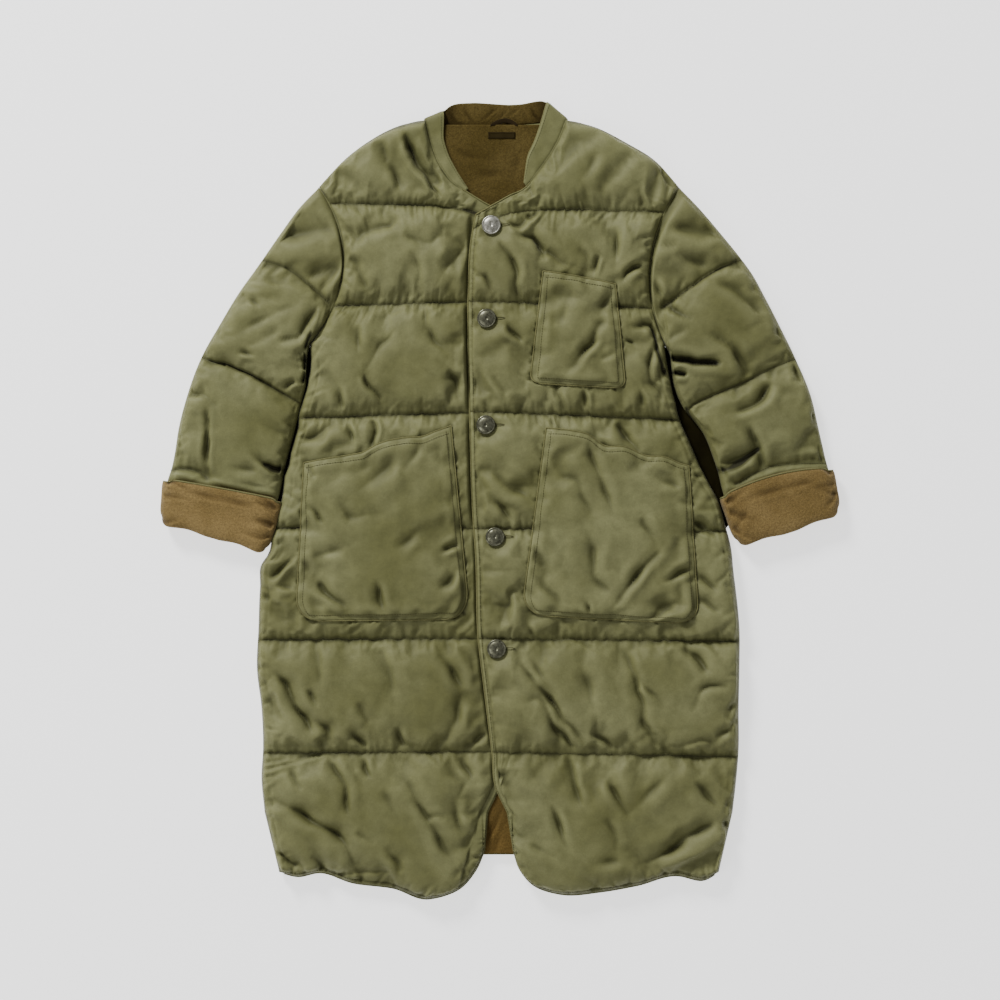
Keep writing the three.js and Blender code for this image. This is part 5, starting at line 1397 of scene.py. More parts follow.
def sleeve_surface(side, with_folds=True):
    """A sleeve's outer and inner wall. The plain one, with no folds, carries the cuff."""
    column, at, cuff_at, end = sleeve_sections(side, SLEEVE_ROWS)
    t = 0.5 * (1 - np.cos(np.pi * np.arange(SLEEVE_ACROSS + 1) / SLEEVE_ACROSS))
    width = np.hypot(column["outer_x"] - column["inner_x"], column["outer_y"] - column["inner_y"])[:, None]
    plan = sleeve_plan(column, t)
    x = plan[:, :, 0]
    y = plan[:, :, 1]
    lines = [dense_path(from_photo(points)) for points in SLEEVE_LINES[side]]
    to_line = np.minimum.reduce([distance_to_path(x, y, line) for line in lines])
    from_armhole = at[:, None] * np.ones(x.shape)
    from_edge = np.minimum(t, 1 - t)[None, :] * width
    rounding = rounded(from_edge, SLEEVE_ROUNDING)
    lift = column["lift"][:, None]
    flat_in_cuff = ease((cuff_at + 2 - at) / 10)[:, None]
    rise = SLEEVE_CROWN_RISE * puffed(to_line) * puffed(from_armhole, 7) * flat_in_cuff
    relief = np.zeros(x.shape)
    shade = np.zeros(x.shape)
    if with_folds:
        wander_x = FOLD_WANDER * 0.5 * slow_noise(x.shape, 24)
        wander_y = FOLD_WANDER * 0.5 * slow_noise(x.shape, 24)
        folds = hand_folds(f"sleeve_{side}", x + wander_x, y + wander_y) + uneven(x.shape, 7)
        relief = SETTLED_SHARE * folds
        for line in lines:
            for turn in (1, -1):
                press_puckers(relief, x, y, line, turn, "sleeve line")
        for column_at, turn in ((2, 1), (SLEEVE_ACROSS - 2, -1)):
            line = path_of(x[:, column_at], y[:, column_at], 4)
            press_puckers(relief, x, y, line, turn, "sleeve edge")
    fade = np.clip(rise / SLEEVE_CROWN_RISE * FOLDS_FROM_SEAM, 0.1, 1)
    top = SLEEVE_INSIDE + SLEEVE_WALL + lift + np.maximum(rise + relief * fade, 0.2)
    edge_z = SLEEVE_EDGE_HEIGHT + lift
    trough = 1.4 * bell(to_line, 3) * np.where(lift > 0.5, 0, 1)
    upper_z = lerp(edge_z, top, rounding)
    upper = np.dstack([x, y, upper_z])
    if with_folds:
        held = (to_line < 1.5) | (from_armhole < 4) | (from_edge < 5) | (from_armhole > cuff_at - 5)
        upper = crumpled(upper, held, CLOTH_ROOM, MOST_WRINKLE)
        pressed, shade = deep_hollows(f"sleeve_{side}", x, y)
        creases = sharp_creases(f"sleeve_{side}", x + wander_x, y + wander_y)
        upper[:, :, 2] += np.where(held, 0, fade) * (PRESSED_SHARE * folds + creases - pressed)
        lowest = lerp(edge_z, SLEEVE_INSIDE + lift + 1.2, rounding)
        upper[:, :, 2] = np.maximum(under_ceiling(upper[:, :, 2], LEVEL_FROM - 2, LEVEL_ROOM), lowest)
    lower_z = lerp(edge_z, lift + trough, rounding)
    inner_t = lerp(SLEEVE_WALL / width, 1 - SLEEVE_WALL / width, t[None, :])
    inner_plan = np.zeros(plan.shape)
    for k, axis in np.ndindex(len(at), 2):
        inner_plan[k, :, axis] = np.interp(inner_t[k], t, plan[k, :, axis])
    inner_top = lerp(edge_z, SLEEVE_INSIDE + lift, rounding)
    inner_low = lerp(edge_z, SLEEVE_WALL + lift, rounding)
    outer = np.concatenate([upper, np.dstack([x, y, lower_z])[:, -2:0:-1]], axis=1)
    inner_upper = np.dstack([inner_plan, inner_top])
    inner_lower = np.dstack([inner_plan, inner_low])
    inner = np.concatenate([inner_upper, inner_lower[:, -2:0:-1]], axis=1)
    count = (int((at <= end).sum()) - 1) // COARSE_STEP * COARSE_STEP + 1
    return {
        "outer": outer[:count], "inner": inner[:count], "at": at, "lines": lines, "cuff_at": cuff_at,
        "full": outer, "to_line": to_line[:count], "shade": shade[:count],
    }


def build_sleeve(side):
    """One quilted sleeve with its stitching and armhole seam."""
    made = sleeve_surface(side)
    outer = made["outer"].copy()
    outward = -1 if side == "right" else 1
    outer[0, :, 0] += outward * 0.4
    piece = tube_shell(f"sleeve_{side}_cloth", outer, made["inner"], OLIVE)
    top = outer[:, : SLEEVE_ACROSS + 1, 2]
    # Painted shade in the sleeve's hollows, along its quilting lines and in its deep tucks; painted highlight
    # with some wear on its crests.
    shade = np.zeros(outer.shape[:2])
    shade[:, : SLEEVE_ACROSS + 1] = hollows(top) + 2.0 * bell(made["to_line"], 1.6) + made["shade"]
    mark(piece, "painted_shade", shade)
    cloth_piece(piece, f"sleeve_{side}")
    find = height_finder([piece])
    rows = []
    for line in made["lines"]:
        heights = find(line[:, 0], line[:, 1])
        on_cloth = heights > SLEEVE_EDGE_HEIGHT
        rows.append(np.column_stack([line, heights + 0.2])[on_cloth])
    stitches(f"sleeve_{side}_stitches", rows)
    build_armhole_seam(side, outer)
    return made


def build_armhole_seam(side, outer):
    """The turned seam allowance that fills the join of a sleeve and its front."""
    y = np.linspace(ARMPIT_Y + 4, SHOULDER_TIP_Y - 3, 70)
    x = armhole_x(side, y)
    order = np.argsort(outer[0, : SLEEVE_ACROSS + 1, 1])
    z = np.interp(y, outer[0, order, 1], outer[0, order, 2])
    piping(f"armhole_seam_{side}", [np.column_stack([x, y, z - 0.9])], 1.5, OLIVE)


# The cuff's section: along runs from its upper edge to the fold, out is how far it stands off the sleeve.
CUFF_SECTION = table(
    "along out",
    (0.0, 0.4), (-0.01, 1.6), (-0.012, 3.4), (0.005, 5.2), (0.05, 6.6), (0.15, 7.1), (0.3, 7.2), (0.45, 7.0),
    (0.6, 7.0), (0.75, 7.1), (0.88, 6.6), (0.96, 5.2), (1.0, 3.2), (1.01, 0.8), (1.0, -1.6), (0.985, -3.4),
    (0.96, -4.2), (0.94, -4.2), (0.94, -1.6), (0.94, 0.4), (0.7, 0.4), (0.35, 0.4),
)


def build_cuff(side, sleeve):
    """The sleeve's end turned back, brown lining outside, folded where it turns."""
    cuff_row = int(np.argmin(np.abs(sleeve["at"] - sleeve["cuff_at"])))
    plain = sleeve_surface(side, with_folds=False)["full"]
    first = plain[cuff_row]
    last = plain[-1]
    middle_first = first.mean(axis=0)
    axis = last.mean(axis=0) - middle_first
    around = np.roll(first, -1, axis=0) - np.roll(first, 1, axis=0)
    normal = np.cross(around, axis)
    normal /= np.linalg.norm(normal, axis=1, keepdims=True)
    inward = np.einsum("ij,ij->i", normal, first - middle_first) < 0
    normal[inward] *= -1
    count = len(CUFF_SECTION["along"])
    steps = np.arange(count * CUFF_FINENESS) / CUFF_FINENESS
    knots = np.arange(count + 1)
    along = smooth(knots, np.append(CUFF_SECTION["along"], CUFF_SECTION["along"][0]), steps)
    out = smooth(knots, np.append(CUFF_SECTION["out"], CUFF_SECTION["out"][0]), steps)
    base = lerp(first[:, None, :], last[:, None, :], along[None, :, None])
    loops = base + normal[:, None, :] * out[None, :, None]
    upper = (np.arange(len(first)) <= SLEEVE_ACROSS)[:, None] * np.ones(loops.shape[:2])
    outside = (out > 4.5)[None, :]
    relief = np.zeros(loops.shape[:2])
    inner_end = lerp(first[SLEEVE_ACROSS], last[SLEEVE_ACROSS], 0.5)
    outer_end = lerp(first[0], last[0], 0.5)
    run = last.mean(axis=0) - first.mean(axis=0)
    across = (inner_end - outer_end)[:2]
    for end_point, inwards, count_here in ((inner_end, -1, 7), (outer_end, 1, 4)):
        for _ in range(count_here):
            start = end_point[:2] + run[:2] * RANDOM.uniform(-0.45, 0.45)
            lean = RANDOM.uniform(-0.35, 0.35)
            finish = start + inwards * across * RANDOM.uniform(0.12, 0.3) + run[:2] * lean
            press_fold(relief, loops[:, :, 0], loops[:, :, 1], np.stack([start, finish]), 3.5, 2.6, "start")
    top_line = lerp(outer_end, inner_end, 0.1)[:2] - run[:2] * 0.28
    far_line = lerp(outer_end, inner_end, 0.9)[:2] - run[:2] * 0.3
    press_fold(relief, loops[:, :, 0], loops[:, :, 1], np.stack([top_line, far_line]), 4.0, 2.2, "both")
    half_width = np.hypot(*across) / 2
    middle = (inner_end[:2] + outer_end[:2]) / 2
    aside = np.abs((loops[:, :, :2] - middle) @ (across / (2 * half_width)))
    at_end = np.clip((aside - half_width + CUFF_CORNER) / CUFF_CORNER, 0, 1)
    rounded = 1 - np.sqrt(1 - at_end**2)
    low_part = ease((along - 0.55) / 0.45)[None, :]
    high_part = ease((0.35 - along) / 0.35)[None, :]
    ripple = 1.3 * np.sin(aside * 0.11 + 1) * low_part
    length = np.hypot(*run[:2])
    slide = (CUFF_CORNER * rounded * (0.35 * high_part - 0.8 * low_part) + ripple) / length
    loops[:, :, :2] += slide[:, :, None] * run[:2]
    loops[:, :, 2] += relief * upper * outside
    loops[:, :, 2] = np.maximum(loops[:, :, 2], 0)
    piece = ring_solid(f"cuff_{side}_wool", loops, BROWN_WOOL)
    # Painted shade in the cuff's folds.
    mark(piece, "painted_shade", np.maximum(-relief, 0) * outside)
    cloth_piece(piece, f"cuff_{side}")
    rim_at = int(np.argmin(np.abs(along - 0.005) + (out < 4.4)))
    rim = np.concatenate([loops[:, rim_at], loops[:1, rim_at]])
    piping(f"cuff_{side}_edging", [raised(rim, 0.4)], 1.1)


def build_back():
    """The back: flat where it rests, rolled up round both sides to the side seams."""
    rail = rail_rows()[0][::COARSE_STEP]
    column = {name: np.interp(rail, np.arange(len(values)), values) for name, values in RAILS.items()}
    s_start = np.zeros(rail.shape)
    right_ends = np.stack(front_plan("right", rail, s_start)[:2], axis=1)
    left_ends = np.stack(front_plan("left", rail, s_start)[:2], axis=1)
    turns = np.linspace(0, np.pi / 2, 9)
    edge_in = SIDE_SEAM_HEIGHT * (1 - np.cos(turns))
    t = np.linspace(0, 1, 61)[1:-1]
    outer = []
    inner = []
    top_t = np.linspace(0, 1, len(BACK_TOP["x"]))
    for k in range(len(rail)):
        start = right_ends[k]
        span = left_ends[k] - start
        length = np.hypot(*span)
        between = lerp(0.03, 0.97, (t - t[0]) / (t[-1] - t[0]))
        place = np.concatenate([edge_in / length, between, 1 - edge_in[::-1] / length])
        plan = start + span * place[:, None]
        plan[:, 1] += HEM_RISE_AT_BACK * column["hem"][k] ** 2 * (1 - (2 * place - 1) ** 4)
        if column["top"][k] > 0:
            crown = np.stack([smooth(top_t, BACK_TOP[axis], place) for axis in "xy"], axis=1)
            right_y = RAILS["right"][-1]
            left_y = RAILS["left"][-1]
            low_start = np.array([armhole_x("right", right_y), right_y])
            low_finish = np.array([armhole_x("left", left_y), left_y])
            low = low_start + (low_finish - low_start) * place[:, None]
            plan = lerp(low, crown, column["top"][k])
        folded = 0.0 if column["right"][k] > ARMPIT_Y else 1.0
        distance = np.minimum(place, 1 - place) * length
        turned = SIDE_SEAM_HEIGHT * (1 - rounded(distance, SIDE_SEAM_HEIGHT))
        low_z = lerp(np.zeros(len(place)), turned, folded)
        lines = np.abs(rail[k] - np.flatnonzero(RAILS["stitched"])) * LINE_SPACING
        dent = 1.5 * bell(lines.min(), 5)
        low_z = low_z + dent * ease((distance - 12) / 20)
        shift = (4.5 * folded + 0.001) * np.exp(-distance / 6) / length
        in_place = np.where(place < 0.5, place + shift, place - shift)
        in_plan = np.stack([np.interp(in_place, place, plan[:, axis]) for axis in (0, 1)], axis=1)
        high_z = lerp(BACK_WALL, SIDE_SEAM_HEIGHT, folded * np.exp(-distance / 2))
        outer.append(np.column_stack([plan, low_z]))
        inner.append(np.column_stack([in_plan, high_z]))
    outer = np.array(outer)
    inner = np.array(inner)
    piece = panel_shell("back_panel_cloth", outer, inner, OLIVE, 1)
    mark(piece, "wear", np.zeros(outer.shape[:2]))
    mark(piece, "painted_shade", np.zeros(outer.shape[:2]))
    cloth_piece(piece, "back_panel")
    rows = []
    for j in np.flatnonzero(RAILS["stitched"]):
        row = int(np.argmin(np.abs(rail - j)))
        rows.append(raised(outer[row, 9:-9], 0.2))
    stitches("back_stitches", rows)


def build_gap_cloth(side):
    """Where a sleeve lies close to the side, the back's cloth fills the gap, low, in a near-black material
    that is painted shade.
    """
    sleeve = SLEEVES[side]
    order = np.argsort(sleeve["inner_y"])
    cuff_taper = 22
    lowest = sleeve["inner_y"][-1] + 15
    y = np.linspace(ARMPIT_Y - 2, lowest, 121)[:, None]
    body = side_x(side, y)
    arm = np.interp(y, sleeve["inner_y"][order], sleeve["inner_x"][order])
    outward = -1 if side == "right" else 1
    share = np.linspace(0, 1, 25)[None, :]
    at_cuff = ease((lowest + cuff_taper - y) / cuff_taper)
    arm = lerp(arm, body - outward * 7, at_cuff)
    x = lerp(body - outward * GAP_CLOTH_TUCK, arm + outward * GAP_CLOTH_TUCK, share)
    wrinkles = 0.5 * slow_noise(x.shape, 20)
    full = np.sin(np.pi * np.clip(share * 1.1 - 0.05, 0, 1))
    top = np.clip(1.4 + 1.6 * full * ease((ARMPIT_Y - y) / 30) + wrinkles, 0.9, 4)
    upper = np.dstack([x, y * np.ones(x.shape), top])
    lower = upper.copy()
    lower[:, :, 2] = 0.2
    piece = panel_shell(f"gap_cloth_{side}", upper, lower, SHADED_OLIVE)
    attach(piece, BODY)


def height_finder(pieces):
    """A function that finds the top of these pieces at places in plan, in millimetres."""
    graph = bpy.context.evaluated_depsgraph_get()
    trees = [BVHTree.FromObject(piece, graph) for piece in pieces]

    def find(x, y):
        heights = np.zeros(x.shape)
        for index in np.ndindex(x.shape):
            best = 0.0
            for tree in trees:
                hit = tree.ray_cast(Vector((x[index] * MM, y[index] * MM, 1)), Vector((0, 0, -1)))[0]
                if hit is not None:
                    best = max(best, hit.z / MM)
            heights[index] = best
        return heights

    return find


def spread(field, times):
    """Each point takes its neighbourhood's highest value."""
    for _ in range(times):
        padded = np.pad(field, 1, mode="edge")
        beside = [padded[:-2, 1:-1], padded[2:, 1:-1], padded[1:-1, :-2], padded[1:-1, 2:]]
        field = np.maximum.reduce([*beside, field])
    return field


def build_pocket(name, pocket, find):
    """A patch pocket that lies on its front, with a stitched edge and an open mouth."""
    width = math.dist(pocket["top_left"], pocket["top_right"])
    height = math.dist(pocket["top_left"], pocket["bottom_left"])
    columns = COARSE_STEP * round(width / POCKET_SPACING / COARSE_STEP) + 1
    rows = COARSE_STEP * round(height / POCKET_SPACING / COARSE_STEP) + 1
    u = np.linspace(0, 1, columns)[None, :]
    v = np.linspace(0, 1, rows)[:, None]
    left = lerp(np.array(pocket["bottom_left"], float), np.array(pocket["top_left"], float), v)
    right = lerp(np.array(pocket["bottom_right"], float), np.array(pocket["top_right"], float), v)
    radius = pocket["corner"]
    above = v * height
    inset = np.where(above < radius, radius - np.sqrt(np.maximum(radius**2 - (radius - above) ** 2, 0)), 0)
    inset = inset * 0.92 / width
    across = lerp(inset, 1 - inset, u)
    x = lerp(left[:, :1], right[:, :1], across)
    y = lerp(left[:, 1:], right[:, 1:], across)
    y = y + smooth(pocket["mouth"]["share"], pocket["mouth"]["lift"], u) * ease((v - 0.6) / 0.4)
    side = np.minimum(across - inset, 1 - inset - across) * width
    edge = np.minimum(side, above) * np.ones(x.shape)
    from_mouth = (1 - v) * height * np.ones(x.shape)
    raw = find(x, y)
    shelf = blur(spread(raw, 4), 14)
    shelf = np.maximum(shelf, blur(spread(raw, 1), 2))
    hold = ease(edge / 16) * ease(from_mouth / 30 + 0.35)
    base = lerp(blur(spread(raw, 1), 3), shelf, hold) + SEAM_GAP
    wander_x = FOLD_WANDER * slow_noise(x.shape, 12)
    wander_y = FOLD_WANDER * slow_noise(x.shape, 12)
    folds = hand_folds(name, x + wander_x, y + wander_y) + uneven(x.shape, 4)
    relief = SETTLED_SHARE * folds
    outline = pocket_outline(pocket, 80)
    press_puckers(relief, x, y, outline, -1, "pocket edge")
    press_puckers(relief, x, y, path_of(x[-1], y[-1], 3), -1, "pocket mouth")
    puff = POCKET_PUFF * puffed(edge, 11) * lerp(0.5, 1, puffed(from_mouth, 10))
    fade = np.clip(puff / POCKET_PUFF * 1.5, 0.15, 1)
    channel = 0.8 * bell(edge - 5.5, 1.5) + 0.8 * bell(from_mouth - 6, 1.6)
    top = base + POCKET_WALL + np.maximum(puff + relief * fade, -0.8) - channel
    rounding = rounded(np.minimum(edge, from_mouth), 2.6)
    top = np.maximum(lerp(base + 0.8, top, rounding), base + 0.4)
    held = (edge < 6.5) | (from_mouth < 7)
    upper = crumpled(np.dstack([x, y, top]), held, CLOTH_ROOM * 0.8, MOST_WRINKLE * 0.8)
    creases = sharp_creases(name, x + wander_x, y + wander_y)
    upper[:, :, 2] += np.where(held, 0, fade) * (PRESSED_SHARE * folds + creases)
    upper[:, :, 2] = np.maximum(under_ceiling(upper[:, :, 2], LEVEL_FROM + 5, LEVEL_ROOM - 2), base + 0.4)
    top = upper[:, :, 2]
    lower = np.dstack([x, y, base])
    piece = panel_shell(f"{name}_cloth", upper, lower, OLIVE)
    mark(piece, "wear", bell(edge, 4) + bell(from_mouth, 5))
    # Painted shade in the pocket's hollows, and painted highlight with some wear on its crests.
    mark(piece, "painted_shade", hollows(top))
    cloth_piece(piece, name)
    inset_columns = 3
    rim = np.concatenate([upper[::-1, 0], upper[0, 1:-1], upper[:, -1]])
    second = np.concatenate(
        [upper[-3:inset_columns:-1, inset_columns], upper[inset_columns, inset_columns:-inset_columns],
         upper[inset_columns:-2, -inset_columns - 1]]
    )
    piping(f"{name}_edging", [raised(rim, 0.5), raised(upper[-1], 0.5)], 0.9)
    stitches(f"{name}_stitches", [raised(second, 0.3), raised(upper[-4, 2:-2], 0.3)])
    return piece


COLLAR_FOLDS = [
    (1.6, 2.6, (449, 112), (455, 122), (468, 127)),
    (1.2, 2.4, (462, 107), (470, 118), (476, 124)),
    (1.3, 2.2, (497, 107), (488, 115), (480, 121)),
    (1.2, 2.2, (508, 108), (499, 119)),
    (1.0, 2.0, (519, 107), (512, 114)),
    (1.4, 2.4, (530, 106), (534, 114), (541, 121)),
    (1.0, 2.0, (523, 110), (528, 120)),
]


def build_collar(loop):
    """One band: flat on the fronts, folded over at both neck points, flat again behind the neck."""
    seams = []
    frees = []
    outs = []

    def add(seam, free, z, out):
        seams.append((*seam, z))
        frees.append((*free, z))
        outs.append(out)

    def add_front(side, order):
        rows = COLLAR_FRONTS[side]
        neck = NECKLINES[side]
        gap = SEAM_GAP if side == "right" else -SEAM_GAP
        for k in order:
            s = rows["s"][k]
            seam_x = float(smooth(neck["s"], neck["x"], s)) + gap
            seam_y = float(smooth(neck["s"], neck["y"], s)) + SEAM_GAP
            add((seam_x, seam_y), (rows["free_x"][k], rows["free_y"][k]), COLLAR_UPPER, (0, 0, 1))

    def add_turn(seam, free, outward, shares):
        radius = (COLLAR_UPPER - COLLAR_LOWER) / 2
        for share in shares:
            reach = math.sin(share * math.pi)
            rise = math.cos(share * math.pi)
            shift = (outward[0] * reach * radius * 0.4, outward[1] * reach * radius * 0.4)
            z = COLLAR_LOWER + radius * (1 + rise)
            add(
                (seam[0] + shift[0], seam[1] + shift[1]), (free[0] + shift[0], free[1] + shift[1]), z,
                (outward[0] * reach, outward[1] * reach, rise),
            )

    order = np.arange(len(COLLAR_FRONTS["right"]["s"]))
    add_front("right", order[::-1])
    add_turn(seams[-1][:2], frees[-1][:2], (-0.4, 0.92), (0.25, 0.5, 0.75, 1))
    for k in range(len(COLLAR_BACK["seam_x"])):
        seam = (COLLAR_BACK["seam_x"][k], COLLAR_BACK["seam_y"][k])
        add(seam, (COLLAR_BACK["free_x"][k], COLLAR_BACK["free_y"][k]), COLLAR_LOWER, (0, 0, -1))
    left = COLLAR_FRONTS["left"]
    fold = (left["free_x"][0], left["free_y"][0])
    add_turn((86 - SEAM_GAP, 493 + SEAM_GAP), fold, (0.62, 0.78), (1, 0.75, 0.5, 0.25))
    add_front("left", order)
    seams = np.array(seams)
    frees = np.array(frees)
    outs = np.array(outs)
    steps = np.hypot(*np.diff((seams[:, :2] + frees[:, :2]) / 2, axis=0).T) + np.abs(np.diff(seams[:, 2]))
    run = np.concatenate([[0], np.cumsum(np.maximum(steps, 1.0))])
    at = np.linspace(0, run[-1], 201)
    fine = {}
    for label, values in (("seam", seams), ("free", frees), ("out", outs)):
        fine[label] = np.stack([np.interp(at, run, values[:, k]) for k in range(3)], axis=1)
        for _ in range(10):
            inside = (fine[label][:-2] + 2 * fine[label][1:-1] + fine[label][2:]) / 4
            fine[label][1:-1] = inside
    out = fine["out"] / np.linalg.norm(fine["out"], axis=1, keepdims=True)
    t = np.linspace(0, 1, 17)
    bulge = 1 + 0.55 * np.sqrt(np.clip(1 - (2 * t - 1) ** 4, 0, 1)) - 0.35
    dents = 0.25 * np.sin(at * 0.21)[:, None] * np.sin(np.pi * t)[None, :]
    centre = lerp(fine["seam"][:, None], fine["free"][:, None], t[None, :, None])
    half = COLLAR_WALL / 2 * (bulge[None, :] + dents)[:, :, None]
    upper = centre + out[:, None] * half
    lower = centre - out[:, None] * COLLAR_WALL / 2 * 0.8
    folds = np.zeros(lower.shape[:2])
    for depth, width, *points in COLLAR_FOLDS:
        press_fold(folds, lower[:, :, 0], lower[:, :, 1], from_photo(points), width, depth, "both")
    faces_up = out[:, 2] < -0.8
    lower[:, :, 2] += folds * faces_up[:, None]
    piece = panel_shell("collar_cloth", upper, lower, OLIVE, 1)
    mark(piece, "wear", np.ones(upper.shape[:2]) * bell(t - 1, 0.12))
    # Painted shade along the band's seam, and on its lower side at both ends behind the neck, in its folds
    # and near its seam.
    seam_shade = 1.6 * np.ones(upper.shape[:2]) * bell(t, 0.08)
    lower_x = lower[:, :, 0]
    inner_shade = 1.8 * bell(lower_x + 68, 12) + 1.8 * bell(lower_x - 58, 11)
    inner_shade += np.maximum(-folds, 0) * 1.2 + 0.9 * bell(t, 0.2)
    mark(piece, "painted_shade", np.concatenate([seam_shade, inner_shade]))
    piece.data.materials.append(DARK_LINING)
    one_side = (upper.shape[0] - 1) * (upper.shape[1] - 1)
    for face in piece.data.polygons[one_side : 2 * one_side]:
        face.material_index = 1
    cloth_piece(piece, "collar")
    rim = centre[:, -1] + out * 0.6
    seam_fill = centre[:, 0] + out * 0.2
    stitched = upper[3:-3, 14] + out[3:-3] * 0.2
    piping("collar_edging", [rim], 0.9)
    behind = np.flatnonzero(out[:, 2] < 0.7)
    piping("collar_seam", [seam_fill[: behind[0] + 1], seam_fill[behind[-1] :]], 1.5, OLIVE)
    piping("collar_back_seam", [seam_fill[behind]], 1.5, TAPE)
    stitches("collar_stitches", [stitched], OLIVE_THREAD, 3.4, 0.3)


def lining_patch(name, node, rows, material, folds):
    """A patch of wool lining with soft folds."""
    y = np.linspace(rows["y"][0], rows["y"][-1], 65)[:, None]
    right = np.interp(y, rows["y"], rows["right"])
    left = np.interp(y, rows["y"], rows["left"])
    t = np.linspace(0, 1, 65)[None, :]
    x = lerp(right, left, t)
    y = y * np.ones(x.shape)
    relief = np.zeros(x.shape)
    for depth, width, *points in folds:
        press_fold(relief, x, y, from_photo(points), width, depth, "both")
    edge = np.minimum(np.minimum(x - right, left - x), 30)
    top = LINING_LIFT + LINING_WALL + 0.9 * ease(edge / 12) + np.clip(relief, -0.9, 1.6)
    upper = np.dstack([x, y, top])
    lower = np.dstack([x, y, np.full(x.shape, LINING_LIFT)])
    piece = panel_shell(name, upper, lower, material)
    # Painted shade in the folds and near the patch's edges.
    mark(piece, "painted_shade", np.maximum(-relief, 0) + 1.6 * bell(edge, 9))
    cloth_piece(piece, node)


def build_linings():
    """The lining where it shows inside the neck and in the slit at the hem."""
    neck = table(
        "y right left",
        (335, -55, 35), (370, -75, 55), (420, -86, 70), (455, -90, 74), (487, -75, 56),
    )
    lining_patch(
        "neck_lining_wool", "lining_neck", neck, DARK_LINING,
        [
            (1.2, 6.0, (452, 150), (470, 156), (500, 160)), (1.0, 8.0, (470, 175), (510, 172)),
            (0.9, 7.0, (520, 150), (512, 185)),
        ],
    )
    hem = table("y right left", (-461.5, -44, 38), (-430, -44, 38), (-390, -36, 30), (-362, -26, 18))
    lining_patch(
        "hem_lining_wool", "lining_hem", hem, HEM_LINING,
        [(1.6, 3.5, (503, 808), (494, 828), (484, 847)), (1.0, 5.0, (500, 835), (494, 856))],
    )


def build_hanger_loop():
    """A short tape loop on the back neck seam."""
    stations = table(
        "x y z",
        (-13, 485.5, 9.0), (-9, 489, 8.6), (-1, 492.5, 7.6), (7, 494, 7), (14, 492, 7.4), (19, 489, 8.4),
        (22, 486, 9.0),
    )
    at = np.arange(len(stations["x"]))
    fine = np.linspace(0, at[-1], 49)
    line = np.stack([smooth(at, stations[key], fine) for key in ("x", "y", "z")], axis=1)
    share = np.linspace(-1, 1, 7)
    crown = 1.2 + 0.35 * (1 - share**2)
    half = 1.5 + np.clip(line[:, 1] - 487, 0, 3) * 0.5
    across = half[:, None] * share[None, :] + (1.5 - half)[:, None]
    lower = line[:, None] + np.dstack([across * 0, across, across * 0])
    upper = lower.copy()
    upper[:, :, 2] += crown[None, :]
    piece = panel_shell("hanger_loop_tape", upper, lower, TAPE, 1)
    stands_for(piece, "hanger_loop")
    return piece


def build_label():
    """A bare strip of woven tape inside the neck."""
    across = np.linspace(-17.5, 17.5, 29)
    tall = np.linspace(-4.25, 4.25, 9)
    x, y = np.meshgrid(across, tall)
    base = LINING_LIFT + LINING_WALL + 1.0
    bow = 0.25 * np.cos(x * 0.35)
    upper = np.dstack([x + 1.5, y + 473, base + 0.7 + bow])
    lower = np.dstack([x + 1.5, y + 473, np.full(x.shape, base)])
    piece = panel_shell("neck_label_cloth", upper, lower, LABEL_CLOTH, 4)
    cloth_piece(piece, "neck_label")
    corners = [upper[1, 1], upper[1, -2], upper[-2, -2], upper[-2, 1], upper[1, 1]]
    stitches("neck_label_stitches", [raised(np.array(corners), 0.2)], TAPE, 2.2, 0.25)


BUTTON_PROFILE = table(
    "radius height",
    (0, 0), (5, 0), (8.5, 0.1), (11.2, 0.9), (12.3, 2.0), (12.4, 3.0), (11.9, 3.7), (11.2, 3.9), (10.6, 3.6),
    (10.1, 3.5), (9.2, 4.0), (7.4, 4.7), (5.4, 5.1), (3.6, 5.3), (2.3, 5.2), (1.7, 4.8), (1.2, 4.0), (0, 3.9),
)


def build_buttons():
    """Five domed metal shank buttons. The top one is worn pale."""
    sides = 48
    turn = 2 * np.pi * np.arange(sides) / sides
    radius = BUTTON_PROFILE["radius"][1:-1]
    height = BUTTON_PROFILE["height"][1:-1]
    for k in range(len(BUTTONS["x"])):
        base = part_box(f"button_{k + 1}")[0].z / MM
        x = BUTTONS["x"][k] + radius[:, None] * np.cos(turn)[None, :]
        y = BUTTONS["y"][k] + radius[:, None] * np.sin(turn)[None, :]
        z = base + height[:, None] * np.ones((1, sides))
        lifts = (0, BUTTON_PROFILE["height"][-1])
        centres = [[BUTTONS["x"][k], BUTTONS["y"][k], base + lift] for lift in lifts]
        points = np.concatenate([np.dstack([x, y, z]).reshape(-1, 3), centres])
        faces = grid_faces(len(radius), sides, 0, True)
        low_centre = len(points) - 2
        high_centre = len(points) - 1
        last = (len(radius) - 1) * sides
        for j in range(sides):
            after = (j + 1) % sides
            faces.append((low_centre, after, j))
            faces.append((high_centre, last + j, last + after))
        piece = make_mesh(f"button_{k + 1}_metal", points, faces, PALE_METAL if k == 0 else BUTTON_METAL)
        stands_for(piece, f"button_{k + 1}")


def build_buttonholes(find):
    """A worked hole to the right of each button: a ring of close thread."""
    turn = np.linspace(0, 2 * np.pi, 25)
    paths = []
    for x, y in zip(BUTTONS["x"], BUTTONS["y"]):
        centre = x + BUTTON_RADIUS + 3.5
        ring_x = centre + 7.5 * np.cos(turn)
        ring_y = y + 1.3 * np.sin(turn)
        heights = find(ring_x, ring_y)
        paths.append(np.stack([ring_x, ring_y, heights + 0.1], axis=1))
    stitches("buttonhole_stitches", paths, OLIVE_THREAD, 1.6, 0.9)


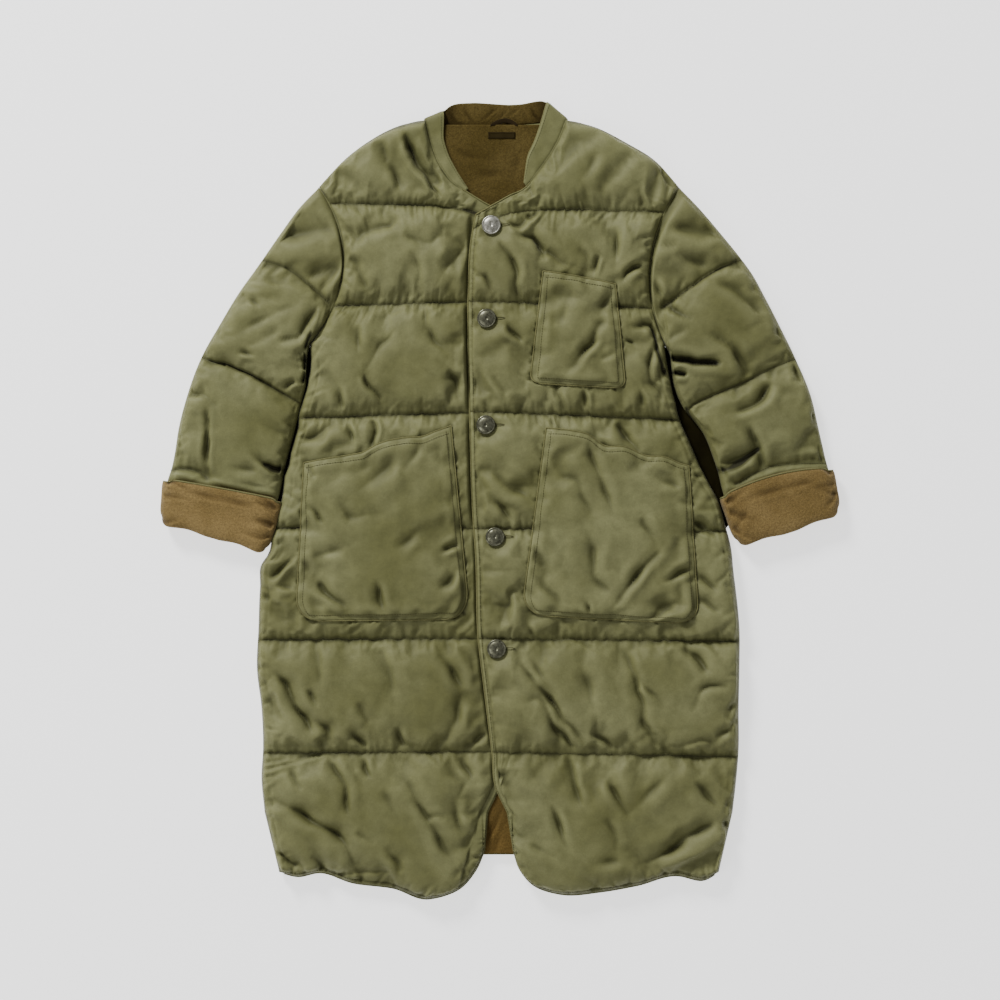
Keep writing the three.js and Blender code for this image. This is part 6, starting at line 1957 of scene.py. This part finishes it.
def build_studio():
    """A pale floor, soft light from the upper left and a weak fill."""
    floor_half = 3000
    floor_height = -0.3
    turns = ((-1, -1), (1, -1), (1, 1), (-1, 1))
    corners = [(x * floor_half, y * floor_half, floor_height) for x, y in turns]
    paint = Finish("pale_floor")
    paint.constants(Base_Color=(0.9, 0.9, 0.9, 1), Roughness=0.9)
    paint.constants(Emission_Color=(1, 1, 1, 1), Emission_Strength=FLOOR_GLOW)
    floor = make_mesh("floor", corners, [(0, 1, 2, 3)], paint.material, loose=True)
    world = bpy.data.worlds.new("studio_world")
    world.use_nodes = True
    world.node_tree.nodes["Background"].inputs["Color"].default_value = (1, 1, 1, 1)
    world.node_tree.nodes["Background"].inputs["Strength"].default_value = 0.38
    bpy.context.scene.world = world
    lamps = table("x y z size power", (-2.2, 3.7, 2.45, 1.1, 280), (-2.2, -1.6, 2.2, 2.0, 36))
    for k in range(len(lamps["x"])):
        light = bpy.data.lights.new(f"softbox_{k + 1}", "AREA")
        light.size = float(lamps["size"][k])
        light.energy = float(lamps["power"][k])
        lamp = bpy.data.objects.new(light.name, light)
        lamp.location = (float(lamps["x"][k]), float(lamps["y"][k]), float(lamps["z"][k]))
        lamp.rotation_mode = "QUATERNION"
        lamp.rotation_quaternion = (-Vector(lamp.location)).to_track_quat("-Z", "Y")
        bpy.context.scene.collection.objects.link(lamp)


def build_camera():
    """Straight above, so that one pixel of the photo is one PHOTO_PIXEL on the surface."""
    lens = 85.0
    sensor = 36.0
    view_width = PHOTO_WIDTH * PHOTO_PIXEL * MM
    camera = bpy.data.cameras.new("camera")
    camera.lens = lens
    camera.sensor_width = sensor
    holder = bpy.data.objects.new("camera", camera)
    middle = PHOTO_WIDTH / 2
    holder.location = (
        (middle - PHOTO_MIDDLE_X) * PHOTO_PIXEL * MM,
        (PHOTO_MIDDLE_Y - middle) * PHOTO_PIXEL * MM,
        view_width * lens / sensor + 0.012,
    )
    bpy.context.scene.collection.objects.link(holder)
    bpy.context.scene.camera = holder


build_camera()
build_studio()
front_pieces = {}
for wearer_side in ("right", "left"):
    front_pieces[wearer_side] = build_front(wearer_side)
    build_cuff(wearer_side, build_sleeve(wearer_side))
build_back()
build_gap_cloth("right")
build_gap_cloth("left")
build_collar(build_hanger_loop())
build_linings()
build_label()
for pocket_name, pocket_shape in POCKETS.items():
    build_pocket(pocket_name, pocket_shape, height_finder([front_pieces[pocket_shape["on"]]]))
build_buttons()
build_buttonholes(height_finder([front_pieces["left"]]))
